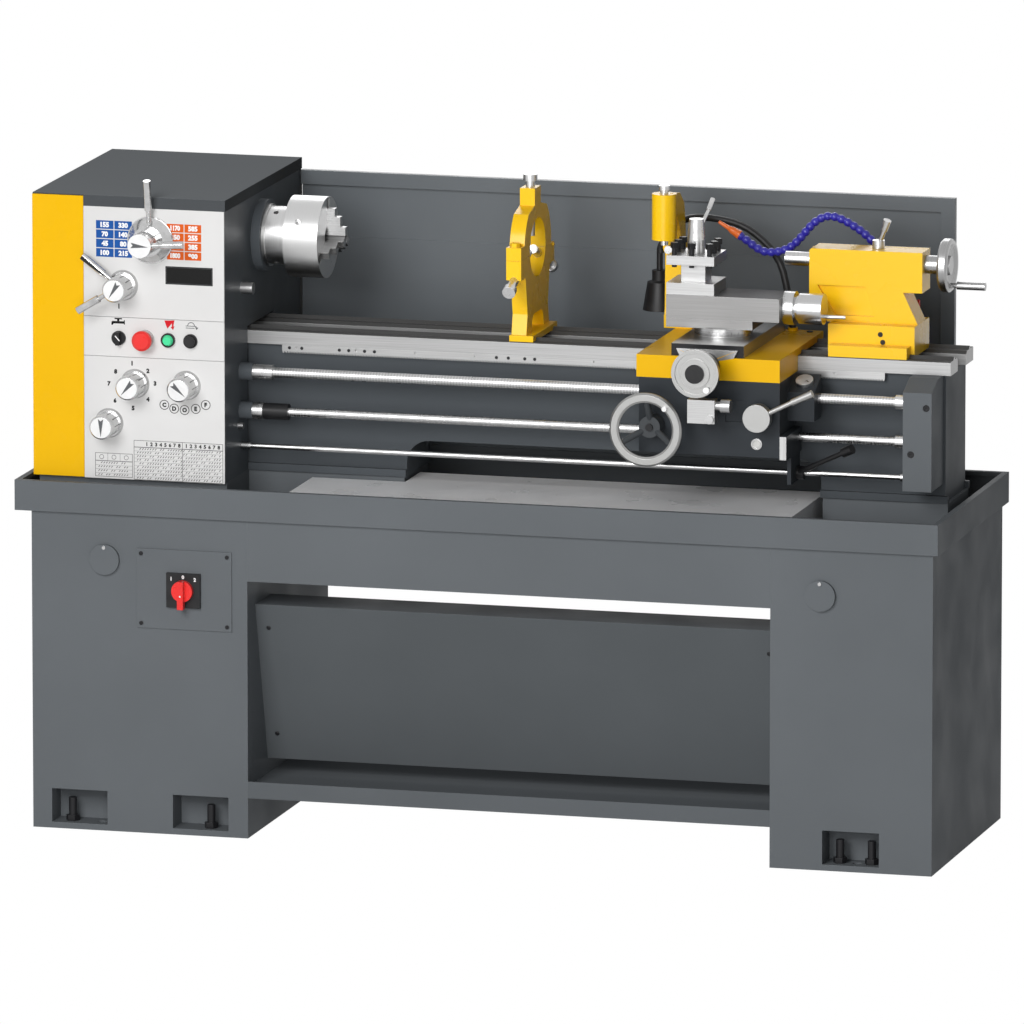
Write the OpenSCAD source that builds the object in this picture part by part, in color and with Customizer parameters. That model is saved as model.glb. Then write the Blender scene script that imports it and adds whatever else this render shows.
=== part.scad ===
// Engine lathe on a two-cabinet stand.
// Origin: on the floor, under the middle of the chip pan. +X to the tailstock,
// -Y to the operator, +Z up. Millimetres.

/* [Stand] */
// Length of the chip pan
pan_length = 1850; // [1840:5:1900]
// Depth of the chip pan, front to back
pan_depth = 590; // [586:2:620]
// Height of the chip pan
pan_height = 60; // [50:1:66]
// Height of the two cabinets
cabinet_height = 630; // [600:5:680]
// Width of the cabinet under the headstock
left_cabinet_width = 437; // [425:1:450]
// Width of the cabinet under the tailstock
right_cabinet_width = 322; // [300:1:330]
// Depth of both cabinets
cabinet_depth = 574; // [560:2:580]
// Sheet thickness of stand, pan and guards
sheet = 3; // [2:0.5:4]
// Thickness of the cabinet base plates
base_plate = 12; // [8:1:16]
// Radius of the floor anchor holes
anchor_hole_r = 9; // [6:0.5:10]
// Distance from the left side to the anchor holes
anchor_inset = 133; // [131:1:135]
// Height of the foot shelf above the floor
shelf_top = 113; // [100:1:125]

/* [Bed] */
// Height of the raised seats that carry the bed, above the pan floor
seat_height = 61; // [56:1:70]
// Height of the bed from its feet to its ways
bed_height = 278; // [270:1:290]
// Half the width of the bed
bed_half = 93; // [90:1:96]
// Width of each bed way
way_width = 58; // [52:1:60]
// Depth of each bed way
way_depth = 27; // [22:1:30]
// Thickness of the bed's side walls
bed_wall = 18; // [14:1:24]

/* [Headstock and spindle] */
// Height of the spindle axis above the ways
swing_r = 173; // [170:1:180]
// Length of the headstock, end cover included
head_length = 388; // [380:1:400]
// Width of the swinging end cover
end_cover_width = 104; // [98:1:110]
// Height of the headstock above its seat
head_height = 558; // [550:1:580]
// Radius of the through bore of the spindle
spindle_bore_r = 19; // [15:0.5:21]
// Radius of the spindle journals
journal_r = 32; // [28:0.5:36]
// Radius of the chuck body
chuck_r = 80; // [72:1:90]
// Length of the chuck body
chuck_length = 70; // [64:1:78]
// Teeth of the bull gear on the spindle
bull_teeth = 60; // [56:4:64]
// Teeth of the pinion on the input shaft
pinion_teeth = 36; // [32:2:38]
// Module of the headstock gears
gear_module = 3; // [2.8:0.1:3]

/* [Rods] */
// Distance of the three rods in front of the spindle axis
rod_front = 140; // [136:1:145]
// Radius of the leadscrew
leadscrew_r = 10; // [8:0.5:12]
// Radius of the feed rod
feed_rod_r = 9; // [7:0.5:11]
// Radius of the control rod
shift_rod_r = 5.5; // [4:0.5:7]
// Leadscrew axis below the ways
leadscrew_drop = 74; // [70:1:78]
// Feed rod axis below the ways
feed_rod_drop = 151; // [145:1:156]
// Control rod axis below the ways
shift_rod_drop = 221; // [216:1:226]

/* [Carriage] */
// Left end of the saddle
carriage_x = 312; // [304:1:320]
// Length of the saddle along the bed
saddle_length = 285; // [280:1:290]
// Saddle front face, ahead of the spindle axis
saddle_front = 238; // [234:1:244]
// Thickness of the saddle over the ways
saddle_thickness = 14; // [12:0.5:18]
// Depth of the saddle's front block below its top
saddle_front_height = 44; // [40:1:50]
// Height of the apron
apron_height = 147; // [140:1:150]
// Rim radius of the carriage handwheel
wheel_r = 72; // [64:1:76]
// Width of the cross slide
cross_width = 144; // [136:1:150]
// Height of the cross slide
cross_height = 23.5; // [21:0.5:28]
// Length of the cross slide
cross_length = 327; // [300:1:330]
// Radius of the compound swivel
swivel_r = 57; // [50:1:62]
// Height of the top slide
top_slide_height = 46; // [42:1:50]
// Length of the top slide
top_slide_length = 225; // [215:1:232]
// Side of the square tool post
tool_post_side = 95; // [86:1:100]
// Height of the tool post
tool_post_height = 76; // [72:1:80]
// Clear height of the tool slots
tool_slot = 35; // [25:1:38]

/* [Tailstock] */
// Left end of the tailstock body
tail_x = 603; // [600:1:610]
// Length of the tailstock barrel
tailstock_length = 225; // [215:1:230]
// Half the width of the barrel
barrel_half = 32; // [28:1:34]
// Height of the tailstock base
tail_base_height = 59; // [54:1:62]
// Radius of the quill
quill_r = 14; // [12:0.5:16]
// Length of quill that stands out of the barrel
quill_out = 54; // [40:1:60]
// Radius of the socket in the quill
quill_socket_r = 8; // [6:0.5:9]
// Rim radius of the tailstock handwheel
tail_wheel_r = 52; // [46:1:56]

/* [Rests] */
// Middle of the steady rest along the bed
steady_x = 36; // [26:1:46]
// Thickness of the steady rest
steady_width = 30; // [24:1:34]
// Inner radius of the steady rest ring
ring_r = 58; // [52:1:62]
// Angle of the two lower steady fingers below the horizontal
finger_dip = 22; // [18:1:28]

/* [Hidden] */
$fn = 48;

paint = [0.42, 0.43, 0.45];
yellow = [1.0, 0.78, 0.11];
white = [0.93, 0.93, 0.93];
steel = [0.78, 0.78, 0.78];
black = [0.12, 0.12, 0.13];

// Fixed sizes
pan_rim = 12;
anchor_spacing_y = 520;
levelling_r = 8;
access_cover_r = 30;
vee_height = 6;
arch_height = 72;
rack_module = 1.75;
case_wall = 6;
compound_plate = 17;
ring_wall = 40;
boss_r = 24;

// Clearances
run_fit = 0.05;
slide_fit = 0.05;
free_fit = 0.4;
open_fit = 1;

// Heights
pan_bottom = cabinet_height;
pan_top = pan_bottom + pan_height;
floor_z = pan_bottom + sheet;
seat_top = floor_z + seat_height;
way_top = seat_top + bed_height;
axis_z = way_top + swing_r;
head_top = seat_top + head_height;
leadscrew_z = way_top - leadscrew_drop;
feed_rod_z = way_top - feed_rod_drop;
shift_rod_z = way_top - shift_rod_drop;
rod_y = -rod_front;

// Stand, left to right
pan_left = -pan_length / 2;
pan_right = pan_length / 2;
pan_front = -pan_depth / 2;
pan_back = pan_depth / 2;
left_inset = 32;
right_inset = 11;
left_cab_x0 = pan_left + left_inset;
left_cab_x1 = left_cab_x0 + left_cabinet_width;
right_cab_x1 = pan_right - right_inset;
right_cab_x0 = right_cab_x1 - right_cabinet_width;
cab_front = -cabinet_depth / 2;
cab_back = cabinet_depth / 2;
pocket_width = 113;
pocket_height = 79;
pocket_depth = 60;
pocket_wall = 3;
anchor_x0 = left_cab_x0 + anchor_inset;
anchor_x1 = right_cab_x1 - anchor_inset - 21;
anchor_y = anchor_spacing_y / 2;
left_pocket_x = [anchor_x0 - 38, anchor_x0 + 208];
right_pocket_x = [anchor_x1 - 7];
levelling_left = [anchor_x0 - 60, anchor_x0 + 222];
levelling_right = [anchor_x1 - 34, anchor_x1 + 29];
levelling_height = 58;
thread_fit = 0.1;

// Headstock, left to right
head_x0 = pan_left + 27;
head_x1 = head_x0 + head_length;
case_x0 = head_x0 + end_cover_width;
head_front = -255;
head_back = 289;
panel_sheet = 3;
case_front = head_front + panel_sheet;
lid_sheet = 2;
lid_lip = 22;
panel_top = head_top - lid_lip;
upper_seam = way_top + 42;
lower_seam = way_top - 36;

// Bed
bed_left = case_x0 + case_wall + open_fit;
bed_right = pan_right - 25;
foot_x0 = -191;
foot_x1 = 641;
web_inset = 12;
web_y = bed_half - web_inset;
arch_top = seat_top + arch_height;
way_centre = bed_half - way_width / 2;

// Function: gear outline
function gear_outline(teeth, size) = let (
  pitch_r = teeth * size / 2,
  root_r = pitch_r - 1.25 * size,
  tip_r = pitch_r + 0.85 * size,
  step = 360 / teeth
) [for (i = [0 : teeth - 1], k = [0 : 3]) let (
  share = [-0.28, -0.11, 0.11, 0.28][k],
  r = (k == 0 || k == 3) ? root_r : tip_r,
  a = (i + share) * step
) [r * cos(a), r * sin(a)]];

// A box between two corners
module block(from, to) {
  translate(from)
    cube(to - from);
}

// A cylinder that runs along +X from a point
module rod_x(from, length, r) {
  translate(from)
    rotate([0, 90, 0])
      cylinder(h = length, r = r);
}

// A cylinder that runs along -Y from a point
module rod_out(from, length, r) {
  translate(from)
    rotate([90, 0, 0])
      cylinder(h = length, r = r);
}

// A cone or cylinder that runs towards the operator (-Y)
module cone_front(from, length, r1, r2) {
  translate(from)
    rotate([90, 0, 0])
      cylinder(h = length, r1 = r1, r2 = r2);
}

// A cylinder that runs along +Z from a point
module post(from, length, r) {
  translate(from)
    cylinder(h = length, r = r);
}

// An outline in Y and Z, given width along +X
module along_x(x, width) {
  translate([x, 0, 0])
    rotate([90, 0, 90])
      linear_extrude(width)
        children();
}

// An outline in X and Z, given depth towards +Y
module along_y(y, depth) {
  translate([0, y + depth, 0])
    rotate([90, 0, 0])
      linear_extrude(depth)
        children();
}

// A rectangle between two corners
module plate(from, to) {
  translate(from)
    square(to - from);
}

// A straight bar between two points
module bar(from, to, r1, r2) {
  run = to - from;
  length = norm(run);
  translate(from)
    rotate([0, acos(run[2] / length), atan2(run[1], run[0])])
      cylinder(h = length, r1 = r1, r2 = r2);
}

// A hand lever: thin shank, then a thicker grip
module hand_lever(from, to, shank_r, grip_r, shank_share) {
  neck = from + (to - from) * shank_share;
  bar(from, neck, shank_r, shank_r);
  bar(neck, to, grip_r, grip_r);
}

// Points on a smooth curve through the given points
function spline(p, i, t) = let (
  a = p[max(i - 1, 0)], b = p[i], c = p[i + 1], d = p[min(i + 2, len(p) - 1)]
) 0.5 * (2 * b + (c - a) * t + (2 * a - 5 * b + 4 * c - d) * t * t + (3 * b - a - 3 * c + d) * t * t * t);
function curve(p, steps) = concat(
  [for (i = [0 : len(p) - 2], s = [0 : steps - 1]) spline(p, i, s / steps)], [p[len(p) - 1]]);
function unit(v) = v / norm(v);

// A round tube swept along points, with one radius for each point
module swept(points, radii, sides) {
  n = len(points);
  heading = [for (i = [0 : n - 1]) unit(points[min(i + 1, n - 1)] - points[max(i - 1, 0)])];
  side = [for (h = heading) unit(cross(h, [0.05, 1, 0.02]))];
  rise = [for (i = [0 : n - 1]) cross(heading[i], side[i])];
  rings = [for (i = [0 : n - 1], k = [0 : sides - 1])
    points[i] + radii[i] * (side[i] * cos(360 * k / sides) + rise[i] * sin(360 * k / sides))];
  skin = [for (i = [0 : n - 2], k = [0 : sides - 1]) let (l = (k + 1) % sides)
    [(i + 1) * sides + k, (i + 1) * sides + l, i * sides + l, i * sides + k]];
  first = [for (k = [0 : sides - 1]) k];
  last = [for (k = [0 : sides - 1]) n * sides - 1 - k];
  polyhedron(rings, concat(skin, [first, last]), convexity = 10);
}

// ---- stand

// A sheet-metal cabinet with floor pockets front and rear
module cabinet(x0, x1, pockets, screws, anchor) {
  difference() {
    block([x0, cab_front, 0], [x1, cab_back, cabinet_height]);
    difference() {
      block([x0 + sheet, cab_front + sheet, base_plate],
        [x1 - sheet, cab_back - sheet, cabinet_height - sheet]);
      for (x = pockets, side = [-1, 1])
        translate([x, side * cab_back, 0])
          block([-pocket_width / 2 - pocket_wall, -pocket_depth - pocket_wall, 0],
            [pocket_width / 2 + pocket_wall, pocket_depth + pocket_wall,
              pocket_height + pocket_wall]);
    }
    for (x = pockets, side = [-1, 1])
      translate([x, side * cab_back, 0])
        block([-pocket_width / 2, -pocket_depth, base_plate],
          [pocket_width / 2, pocket_depth, pocket_height]);
    for (side = [-1, 1]) {
      post([anchor, side * anchor_y, -1], base_plate + 2, anchor_hole_r);
      for (x = screws)
        post([x, side * anchor_y, -1], base_plate + 2, levelling_r + thread_fit);
    }
  }
}

access_z = cabinet_height - 90;
left_access_x = left_cab_x0 + 149;
right_access_x = right_cab_x1 - 222;

// An access cover, hung from a pin above its middle
module access_cover(x) {
  rod_out([x, cab_front, access_z], 8, access_cover_r);
  rod_out([x, cab_front, access_z + 24], 11, 3.5);
}

module left_cabinet() {
  color(paint) {
    cabinet(left_cab_x0, left_cab_x1, left_pocket_x, levelling_left, anchor_x0);
    access_cover(left_access_x);
  }
}

module right_cabinet() {
  color(paint) {
    cabinet(right_cab_x0, right_cab_x1, right_pocket_x, levelling_right, anchor_x1);
    access_cover(right_access_x);
  }
}

beam_bottom = 510;
beam_fold = 40;
guard_top = 455;
guard_front = -232;
guard_back = -120;
fold_y = -146;
fold_z = 133;
shelf_lip = 33;

// Front beam, leaning knee guard and foot shelf between the cabinets
module stand_panels() {
  span = right_cab_x0 - left_cab_x1;
  color(paint) {
    along_x(left_cab_x1, span)
      difference() {
        plate([cab_front, beam_bottom], [cab_front + beam_fold, pan_bottom]);
        plate([cab_front + sheet, beam_bottom + sheet],
          [cab_front + beam_fold + 1, pan_bottom - sheet]);
      }
    along_x(left_cab_x1, span)
      polygon([
        [guard_back, guard_top], [guard_front, guard_top],
        [fold_y, fold_z], [fold_y + 18, fold_z],
        [fold_y + 18, fold_z + sheet], [fold_y + sheet, fold_z + sheet],
        [guard_front + sheet, guard_top - sheet], [guard_back, guard_top - sheet]
      ]);
    along_x(left_cab_x1, span) {
      plate([cab_front, shelf_top - 12], [6, shelf_top - 10]);
      plate([cab_front, shelf_top - shelf_lip], [cab_front + sheet, shelf_top]);
    }
  }
}

seat_gap = 4;

hair = 0.1;

// Chip pan of plates: walls, rim lips, floor and raised seats
module chip_pan() {
  lip_z = pan_top - 8;
  x = pan_right - sheet;
  y = pan_back - sheet;
  rim = pan_back - pan_rim;
  base = floor_z + hair;
  color(paint) {
    block([hair - x, hair - y, pan_bottom], [x - hair, y - hair, floor_z]);
    for (k = [0, 1]) {
      mirror([0, k, 0]) {
        block([pan_left, y, pan_bottom], [pan_right, pan_back, pan_top]);
        block([hair - x, rim, lip_z], [x - hair, y - hair, pan_top]);
      }
      mirror([k, 0, 0]) {
        block([x, hair - y, pan_bottom], [pan_right, y - hair, pan_top]);
        block([pan_right - pan_rim, hair - rim, lip_z], [x - hair, rim - hair, pan_top]);
      }
    }
    block([head_x0 + 8, -240, base], [head_x1, 270, seat_top]);
    block([head_x1 + hair, -web_y - seat_gap, base],
      [foot_x0 - seat_gap, web_y + seat_gap, seat_top]);
    block([foot_x1 + seat_gap, -web_y - seat_gap, base],
      [bed_right - 6, web_y + seat_gap, seat_top]);
  }
}

tray_top = pan_top - 4;
tray_left = -378;
tray_right = 628;
tray_back = 10;
tray_notch_y = -bed_half - 4;

// Bright chip tray that stands in the pan under the bed
module chip_tray() {
  tray_front = pan_front + pan_rim + open_fit;
  tin = 2;
  notch_x = foot_x0 + open_fit;
  color(steel)
    difference() {
      union() {
        block([tray_left, tray_front, floor_z], [tray_right, tray_notch_y, tray_top]);
        block([notch_x, tray_front, floor_z], [tray_right, tray_back, tray_top]);
      }
      block([tray_left + tin, tray_front + tin, floor_z - 1],
        [tray_right - tin, tray_notch_y - tin, tray_top - tin]);
      block([notch_x + tin, tray_front + tin, floor_z - 1],
        [tray_right - tin, tray_back - tin, tray_top - tin]);
    }
}

guard_left = head_x1 + 2;
guard_right = 817;
guard_height = 538;
guard_frame = 28;
guard_lip = 14;
guard_seam = 407;

// Splash guard with a folded frame, on the pan's rear rim
module splash_guard() {
  back = pan_back;
  color(paint) {
    block([guard_left, back - sheet, pan_top], [guard_right, back, pan_top + guard_height]);
    block([guard_left, back - guard_lip, pan_top + guard_height - guard_frame],
      [guard_right, back - sheet, pan_top + guard_height]);
    block([guard_right - guard_frame, back - guard_lip, pan_top],
      [guard_right, back - sheet, pan_top + guard_height - guard_frame]);
    block([guard_left, back - 2 * sheet, pan_top],
      [guard_right - guard_frame, back - sheet, pan_top + guard_seam]);
  }
}

switch_x = left_cab_x1 - 127;
switch_z = cabinet_height - 143;
plate_width = 192;
plate_height = 157;
switch_box = 68;
switch_box_y = 8;
switch_shaft_r = 6;

module switch_plate() {
  front = cab_front - sheet;
  color(paint)
    difference() {
      block([switch_x - plate_width / 2, front, switch_z - plate_height / 2],
        [switch_x + plate_width / 2, cab_front, switch_z + plate_height / 2]);
      rod_out([switch_x, cab_front + 1, switch_z], sheet + 2, switch_shaft_r + run_fit);
    }
  color(black)
    difference() {
      block([switch_x - switch_box / 2, front - switch_box_y, switch_z - switch_box / 2],
        [switch_x + switch_box / 2, front, switch_z + switch_box / 2]);
      rod_out([switch_x, front + 1, switch_z], switch_box_y + 2,
        switch_shaft_r + run_fit);
    }
  color(steel)
    for (sx = [-1, 1], sz = [-1, 1])
      rod_out([switch_x + sx * 87, front, switch_z + sz * 69], 2, 4);
}

module main_switch() {
  face = cab_front - sheet - switch_box_y - slide_fit;
  color("red") {
    rod_out([switch_x, cab_front - 0.5, switch_z], sheet + switch_box_y, switch_shaft_r);
    rod_out([switch_x, face, switch_z], 10, 21);
    block([switch_x - 6, face - 22, switch_z - 34], [switch_x + 6, face - 9, switch_z + 21]);
  }
}

// Levelling screws with nuts
module levelling_screws() {
  nut_r = levelling_r * 1.7;
  color("dimgray")
    for (x = concat(levelling_left, levelling_right), side = [-1, 1])
      union() {
        post([x, side * anchor_y, 0], levelling_height, levelling_r);
        translate([x, side * anchor_y, base_plate])
          cylinder(h = levelling_r * 1.4, r = nut_r, $fn = 6);
      }
}

// ---- bed

rib_top = way_top - way_depth - hair;

// Side outline of the bed wall with its open arch
module bed_wall_outline() {
  corner = 45;
  difference() {
    plate([bed_left, seat_top], [bed_right - 12, rib_top]);
    plate([foot_x0, seat_top - 1], [foot_x1, arch_top - corner]);
    plate([foot_x0 + corner, seat_top - 1], [foot_x1 - corner, arch_top]);
    translate([foot_x0 + corner, arch_top - corner])
      circle(corner);
    translate([foot_x1 - corner, arch_top - corner])
      circle(corner);
  }
}

// Cross-section of one way with its inverted vee
module way_outline(side) {
  inner = bed_half - way_width;
  chamfer = 6;
  vee_half = vee_height * 1.2;
  mirror([side < 0 ? 1 : 0, 0])
    polygon([
      [inner, way_top - way_depth], [bed_half, way_top - way_depth],
      [bed_half, way_top - 1.5], [bed_half - 1.5, way_top],
      [way_centre + vee_half, way_top], [way_centre + 1, way_top + vee_height],
      [way_centre - 1, way_top + vee_height], [way_centre - vee_half, way_top],
      [inner + chamfer, way_top], [inner, way_top - chamfer]
    ]);
}

module bed() {
  flange = 14;
  rib_pitch = 200;
  half = web_y - bed_wall - hair;
  color(paint) {
    for (side = [-1, 1])
      along_y(side > 0 ? web_y - bed_wall : -web_y, bed_wall)
        bed_wall_outline();
    for (x = [bed_left, foot_x0 - bed_wall, foot_x1, bed_right - 12 - bed_wall])
      block([x, -half, seat_top], [x + bed_wall, half, rib_top]);
    for (x = [foot_x0 + rib_pitch : rib_pitch : foot_x1 - rib_pitch / 2])
      block([x, -half, arch_top], [x + bed_wall, half, way_top - 60]);
    for (range = [[head_x1, foot_x0], [foot_x1, bed_right - 5]], side = [-1, 1])
      mirror([0, side < 0 ? 1 : 0, 0])
        block([range[0], web_y + hair, seat_top], [range[1], bed_half - 2, seat_top + flange]);
  }
  color(steel)
    for (side = [-1, 1])
      along_x(bed_left, bed_right - bed_left)
        way_outline(side);
}

rack_left = -440;
rack_right = 770;
rack_height = 16;
rack_thickness = bed_half - web_y;
rack_screw_pitch = 120;

// Rack with downward teeth under the front way
module rack() {
  pitch = PI * rack_module;
  tooth = rack_module * 2;
  count = floor((rack_right - rack_left) / pitch);
  top = way_top - way_depth;
  root = top - rack_height + tooth;
  tips = [for (i = [0 : count - 1], k = [0 : 3]) let (
    share = [0.1, 0.3, 0.7, 0.9][k],
    drop = (k == 0 || k == 3) ? 0 : tooth
  ) [rack_left + (i + share) * pitch, root - drop]];
  end = rack_left + count * pitch;
  color(steel)
    difference() {
      along_y(-bed_half, rack_thickness)
        polygon(concat([[rack_left, top]], [[rack_left, root]], tips, [[end, root], [end, top]]));
      for (x = [rack_left + 30 : rack_screw_pitch : rack_right - 30])
        rod_out([x, -bed_half + 4, top - 5], 5, 2.6);
    }
}

bracket_x = 826;
bracket_width = 57;
bracket_front = rod_y - 37;
bracket_z = shift_rod_z - 20;
bracket_bore = 40;
bracket_screws = [[46, 164], [16, 72]];

// Bracket that carries the right ends of the three rods
module end_bracket() {
  top_back = way_top - way_depth - 0.5;
  shoulder_z = leadscrew_z + 26;
  color(paint)
    difference() {
      along_x(bracket_x, bracket_width)
        polygon([
          [-web_y, bracket_z], [bracket_front, bracket_z],
          [bracket_front, shoulder_z], [bracket_front + 54, top_back],
          [-web_y, top_back]
        ]);
      rod_x([bracket_x - 1, rod_y, leadscrew_z], bracket_bore + 1, leadscrew_r + run_fit);
      rod_x([bracket_x - 1, rod_y, feed_rod_z], bracket_bore + 1, feed_rod_r + run_fit);
      rod_x([bracket_x - 1, rod_y, shift_rod_z], bracket_bore + 1,
        shift_rod_r + run_fit);
      for (s = bracket_screws)
        rod_out([bracket_x + s[0], bracket_front + 8, bracket_z + s[1]], 9, 7);
    }
  color(black)
    for (s = bracket_screws)
      difference() {
        rod_out([bracket_x + s[0], bracket_front + 8, bracket_z + s[1]], 6.5, 6.8);
        translate([bracket_x + s[0], bracket_front + 4, bracket_z + s[1]])
          rotate([90, 0, 0])
            cylinder(h = 5, r = 3.4, $fn = 6);
      }
}

// ---- headstock

shaft_hole_r = 8;
tumbler_r = 16;
tumbler_core_r = 9;
selector_x = head_x1 - 148;
selector_z = axis_z + 24;
feed_x = head_x1 - 204;
feed_z = axis_z - 68;
pitch_x = head_x1 - 181;
pitch_z = way_top - 88;
mode_x = head_x1 - 77;
mode_z = way_top - 87;
range_x = head_x1 - 234;
range_z = way_top - 168;
row_z = way_top + 1;
coolant_x = head_x1 - 213;
stop_x = head_x1 - 160;
lamp_x = head_x1 - 113;
jog_x = head_x1 - 68;

input_distance = (bull_teeth + pinion_teeth) * gear_module / 2;
input_angle = 30;
input_y = input_distance * cos(input_angle);
input_z = axis_z - input_distance * sin(input_angle);
gear_x = head_x1 - 190;
gear_width = 28;
bearing = 40;
input_r = 14;
motor_y = 190;
motor_z = way_top - 152;
motor_r = 82;
motor_shaft_r = 12;
motor_x0 = case_x0 + 44;
motor_x1 = head_x1 - 30;
bearing_x = gear_x + gear_width + 32;
nose_boss = 18;
nose_boss_r = 70;
hinge_pin_r = 3;
knuckle_r = 7;
hinge_x = case_x0 - 0.25;
hinge_y = head_back + knuckle_r + 1;
hinge_lug = 12;
knuckle = 24;
hinge_heights = [seat_top + 80, head_top - 120];

// Shaft holes in the front of the headstock
module front_holes(y, depth) {
  for (p = [[feed_x, feed_z], [pitch_x, pitch_z], [mode_x, mode_z], [range_x, range_z],
      [coolant_x, row_z], [stop_x, row_z], [jog_x, row_z]])
    rod_out([p[0], y, p[1]], depth, shaft_hole_r + run_fit);
  rod_out([selector_x, y, selector_z], depth, tumbler_r + run_fit);
}

module headstock_case() {
  top = head_top - lid_sheet;
  front = case_front + case_wall;
  back = head_back - case_wall - hair;
  left = case_x0 + case_wall;
  right = head_x1 - case_wall - hair;
  color(paint) {
    difference() {
      union() {
        difference() {
          block([case_x0, case_front, seat_top], [head_x1, head_back, top]);
          block([left, front, seat_top + case_wall], [right + hair, back + hair, top + 1]);
        }
        rod_x([case_x0, 0, axis_z], bearing, journal_r + 24);
        rod_x([head_x1 - bearing, 0, axis_z], bearing + nose_boss, nose_boss_r);
        rod_x([case_x0, input_y, input_z], bearing, input_r + 14);
        block([bearing_x, input_y - 30, input_z - 40],
          [bearing_x + 14, head_back - 1, input_z + 40]);
        rod_x([head_x1 - 1, rod_y, leadscrew_z], rod_boss + 1, leadscrew_r + 7);
        rod_x([head_x1 - 1, rod_y, feed_rod_z], rod_boss + 1, feed_rod_r + 8);
      }
      block([left, -bed_half - open_fit, seat_top - 1],
        [head_x1 + 30, bed_half + open_fit, way_top + vee_height + open_fit]);
      rod_x([case_x0 - 1, 0, axis_z], bearing + 2, journal_r + run_fit);
      rod_x([head_x1 - bearing - 1, 0, axis_z], bearing + nose_boss + 2, journal_r + run_fit);
      rod_x([case_x0 - 1, input_y, input_z], bearing + 2, input_r + run_fit);
      rod_x([bearing_x - 1, input_y, input_z], 16, input_r + run_fit);
      rod_x([case_x0 - 1, motor_y, motor_z], case_wall + 2, motor_shaft_r + 4);
      rod_x([right - 1, rod_y, leadscrew_z], 35, leadscrew_r + run_fit);
      rod_x([right - 1, rod_y, feed_rod_z], 35, feed_rod_r + run_fit);
      rod_x([right - 1, rod_y, shift_rod_z], 32, shift_rod_r + run_fit);
      front_holes(front + 1, case_wall + 2);
      for (y = [front, back])
        block([case_x0 - 1, y, seat_top - 1], [head_x1 + 1, y + hair, top + 1]);
      for (x = [left, right])
        block([x, front, seat_top - 1], [x + hair, back, top + 1]);
    }
    for (z = hinge_heights) {
      block([case_x0, head_back - 1, z], [case_x0 + 12, hinge_y, z + hinge_lug]);
      post([hinge_x, hinge_y, z], hinge_lug, knuckle_r);
      post([hinge_x, hinge_y, z], hinge_lug + knuckle, hinge_pin_r);
    }
  }
  color(steel) {
    rod_x([head_x1, rod_y + 6, axis_z - 84], 24, 12);
    rod_x([head_x1, rod_y - 18, shift_rod_z + 42], 10, 7);
  }
}

module headstock_lid() {
  color(paint) {
    block([head_x0, head_front + panel_sheet, head_top - lid_sheet],
      [head_x1, head_back, head_top]);
    block([case_x0, head_front, panel_top], [head_x1, case_front, head_top]);
    block([head_x1, head_front, panel_top], [head_x1 + lid_sheet, head_back, head_top]);
  }
}

panel_gap = 0.8;
bezel_height = 4;

// Three white front panels with bezels and the pilot lamp
module control_panels() {
  color(white)
    difference() {
      union()
        for (z = [[upper_seam, panel_top], [lower_seam, upper_seam - panel_gap],
            [seat_top, lower_seam - panel_gap]])
          block([case_x0, head_front, z[0]], [head_x1, case_front, z[1]]);
      front_holes(case_front + 1, panel_sheet + 2);
    }
  color(black)
    for (p = [[stop_x, 18], [jog_x, 14]])
      difference() {
        rod_out([p[0], head_front, row_z], bezel_height, p[1]);
        rod_out([p[0], head_front + 1, row_z], bezel_height + 2,
          shaft_hole_r + run_fit);
      }
  color(black)
    rod_out([lamp_x, head_front, row_z], 6, 14);
  color([0.12, 0.85, 0.47])
    cone_front([lamp_x, head_front - 6, row_z], 7, 11, 8);
}

cover_gap = 0.5;

// End cover: a shell that swings on two pins at its rear edge
module end_cover() {
  top = head_top - lid_sheet - cover_gap;
  right = case_x0 - cover_gap;
  color(yellow) {
    difference() {
      block([head_x0, head_front, seat_top + open_fit], [right, head_back, top]);
      block([head_x0 + sheet, head_front + sheet, seat_top + open_fit + sheet],
        [right + 1, head_back - sheet, top - sheet]);
      rod_x([head_x0 - 1, 0, axis_z], sheet + 2, journal_r);
    }
    for (z = hinge_heights)
      difference() {
        union() {
          post([hinge_x, hinge_y, z + hinge_lug + slide_fit],
            knuckle, knuckle_r);
          block([right - 14, head_back - 1, z + hinge_lug + slide_fit],
            [right, hinge_y, z + hinge_lug + slide_fit + knuckle]);
        }
        post([hinge_x, hinge_y, z], hinge_lug + knuckle + 2,
          hinge_pin_r + run_fit);
      }
  }
}

// ---- spindle and chuck

flange_x = head_x1 + nose_boss + slide_fit;
flange_thickness = 6;
flange_r = 61;
spigot_r = 40;
spigot_length = 10;
backplate_x = flange_x + flange_thickness;
backplate = 43;
backplate_r = 57;
chuck_x = backplate_x + backplate;
chuck_face = chuck_x + chuck_length;

module spindle() {
  tail_end = head_x0 + 14;
  color(steel)
    difference() {
      union() {
        rod_x([tail_end, 0, axis_z], case_x0 - tail_end, journal_r - 6);
        rod_x([case_x0, 0, axis_z], flange_x - case_x0, journal_r);
        translate([gear_x, 0, axis_z])
          rotate([90, 0, 90])
            linear_extrude(gear_width)
              polygon(gear_outline(bull_teeth, gear_module));
        rod_x([flange_x, 0, axis_z], flange_thickness, flange_r);
        rod_x([backplate_x, 0, axis_z], spigot_length, spigot_r);
      }
      rod_x([tail_end - 1, 0, axis_z], backplate_x - tail_end + spigot_length + 2,
        spindle_bore_r);
    }
}

jaw_angles = [90, 210, 330];
jaw_width = 16;
jaw_slot_r = 77;
jaw_root = 12;
jaw_tongue = 10;
jaw_tongue_depth = 22;
jaw_bore_r = 23;
jaw_inner = 5.4;
jaw_travel = 18;
key_hole_r = 6.5;

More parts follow.
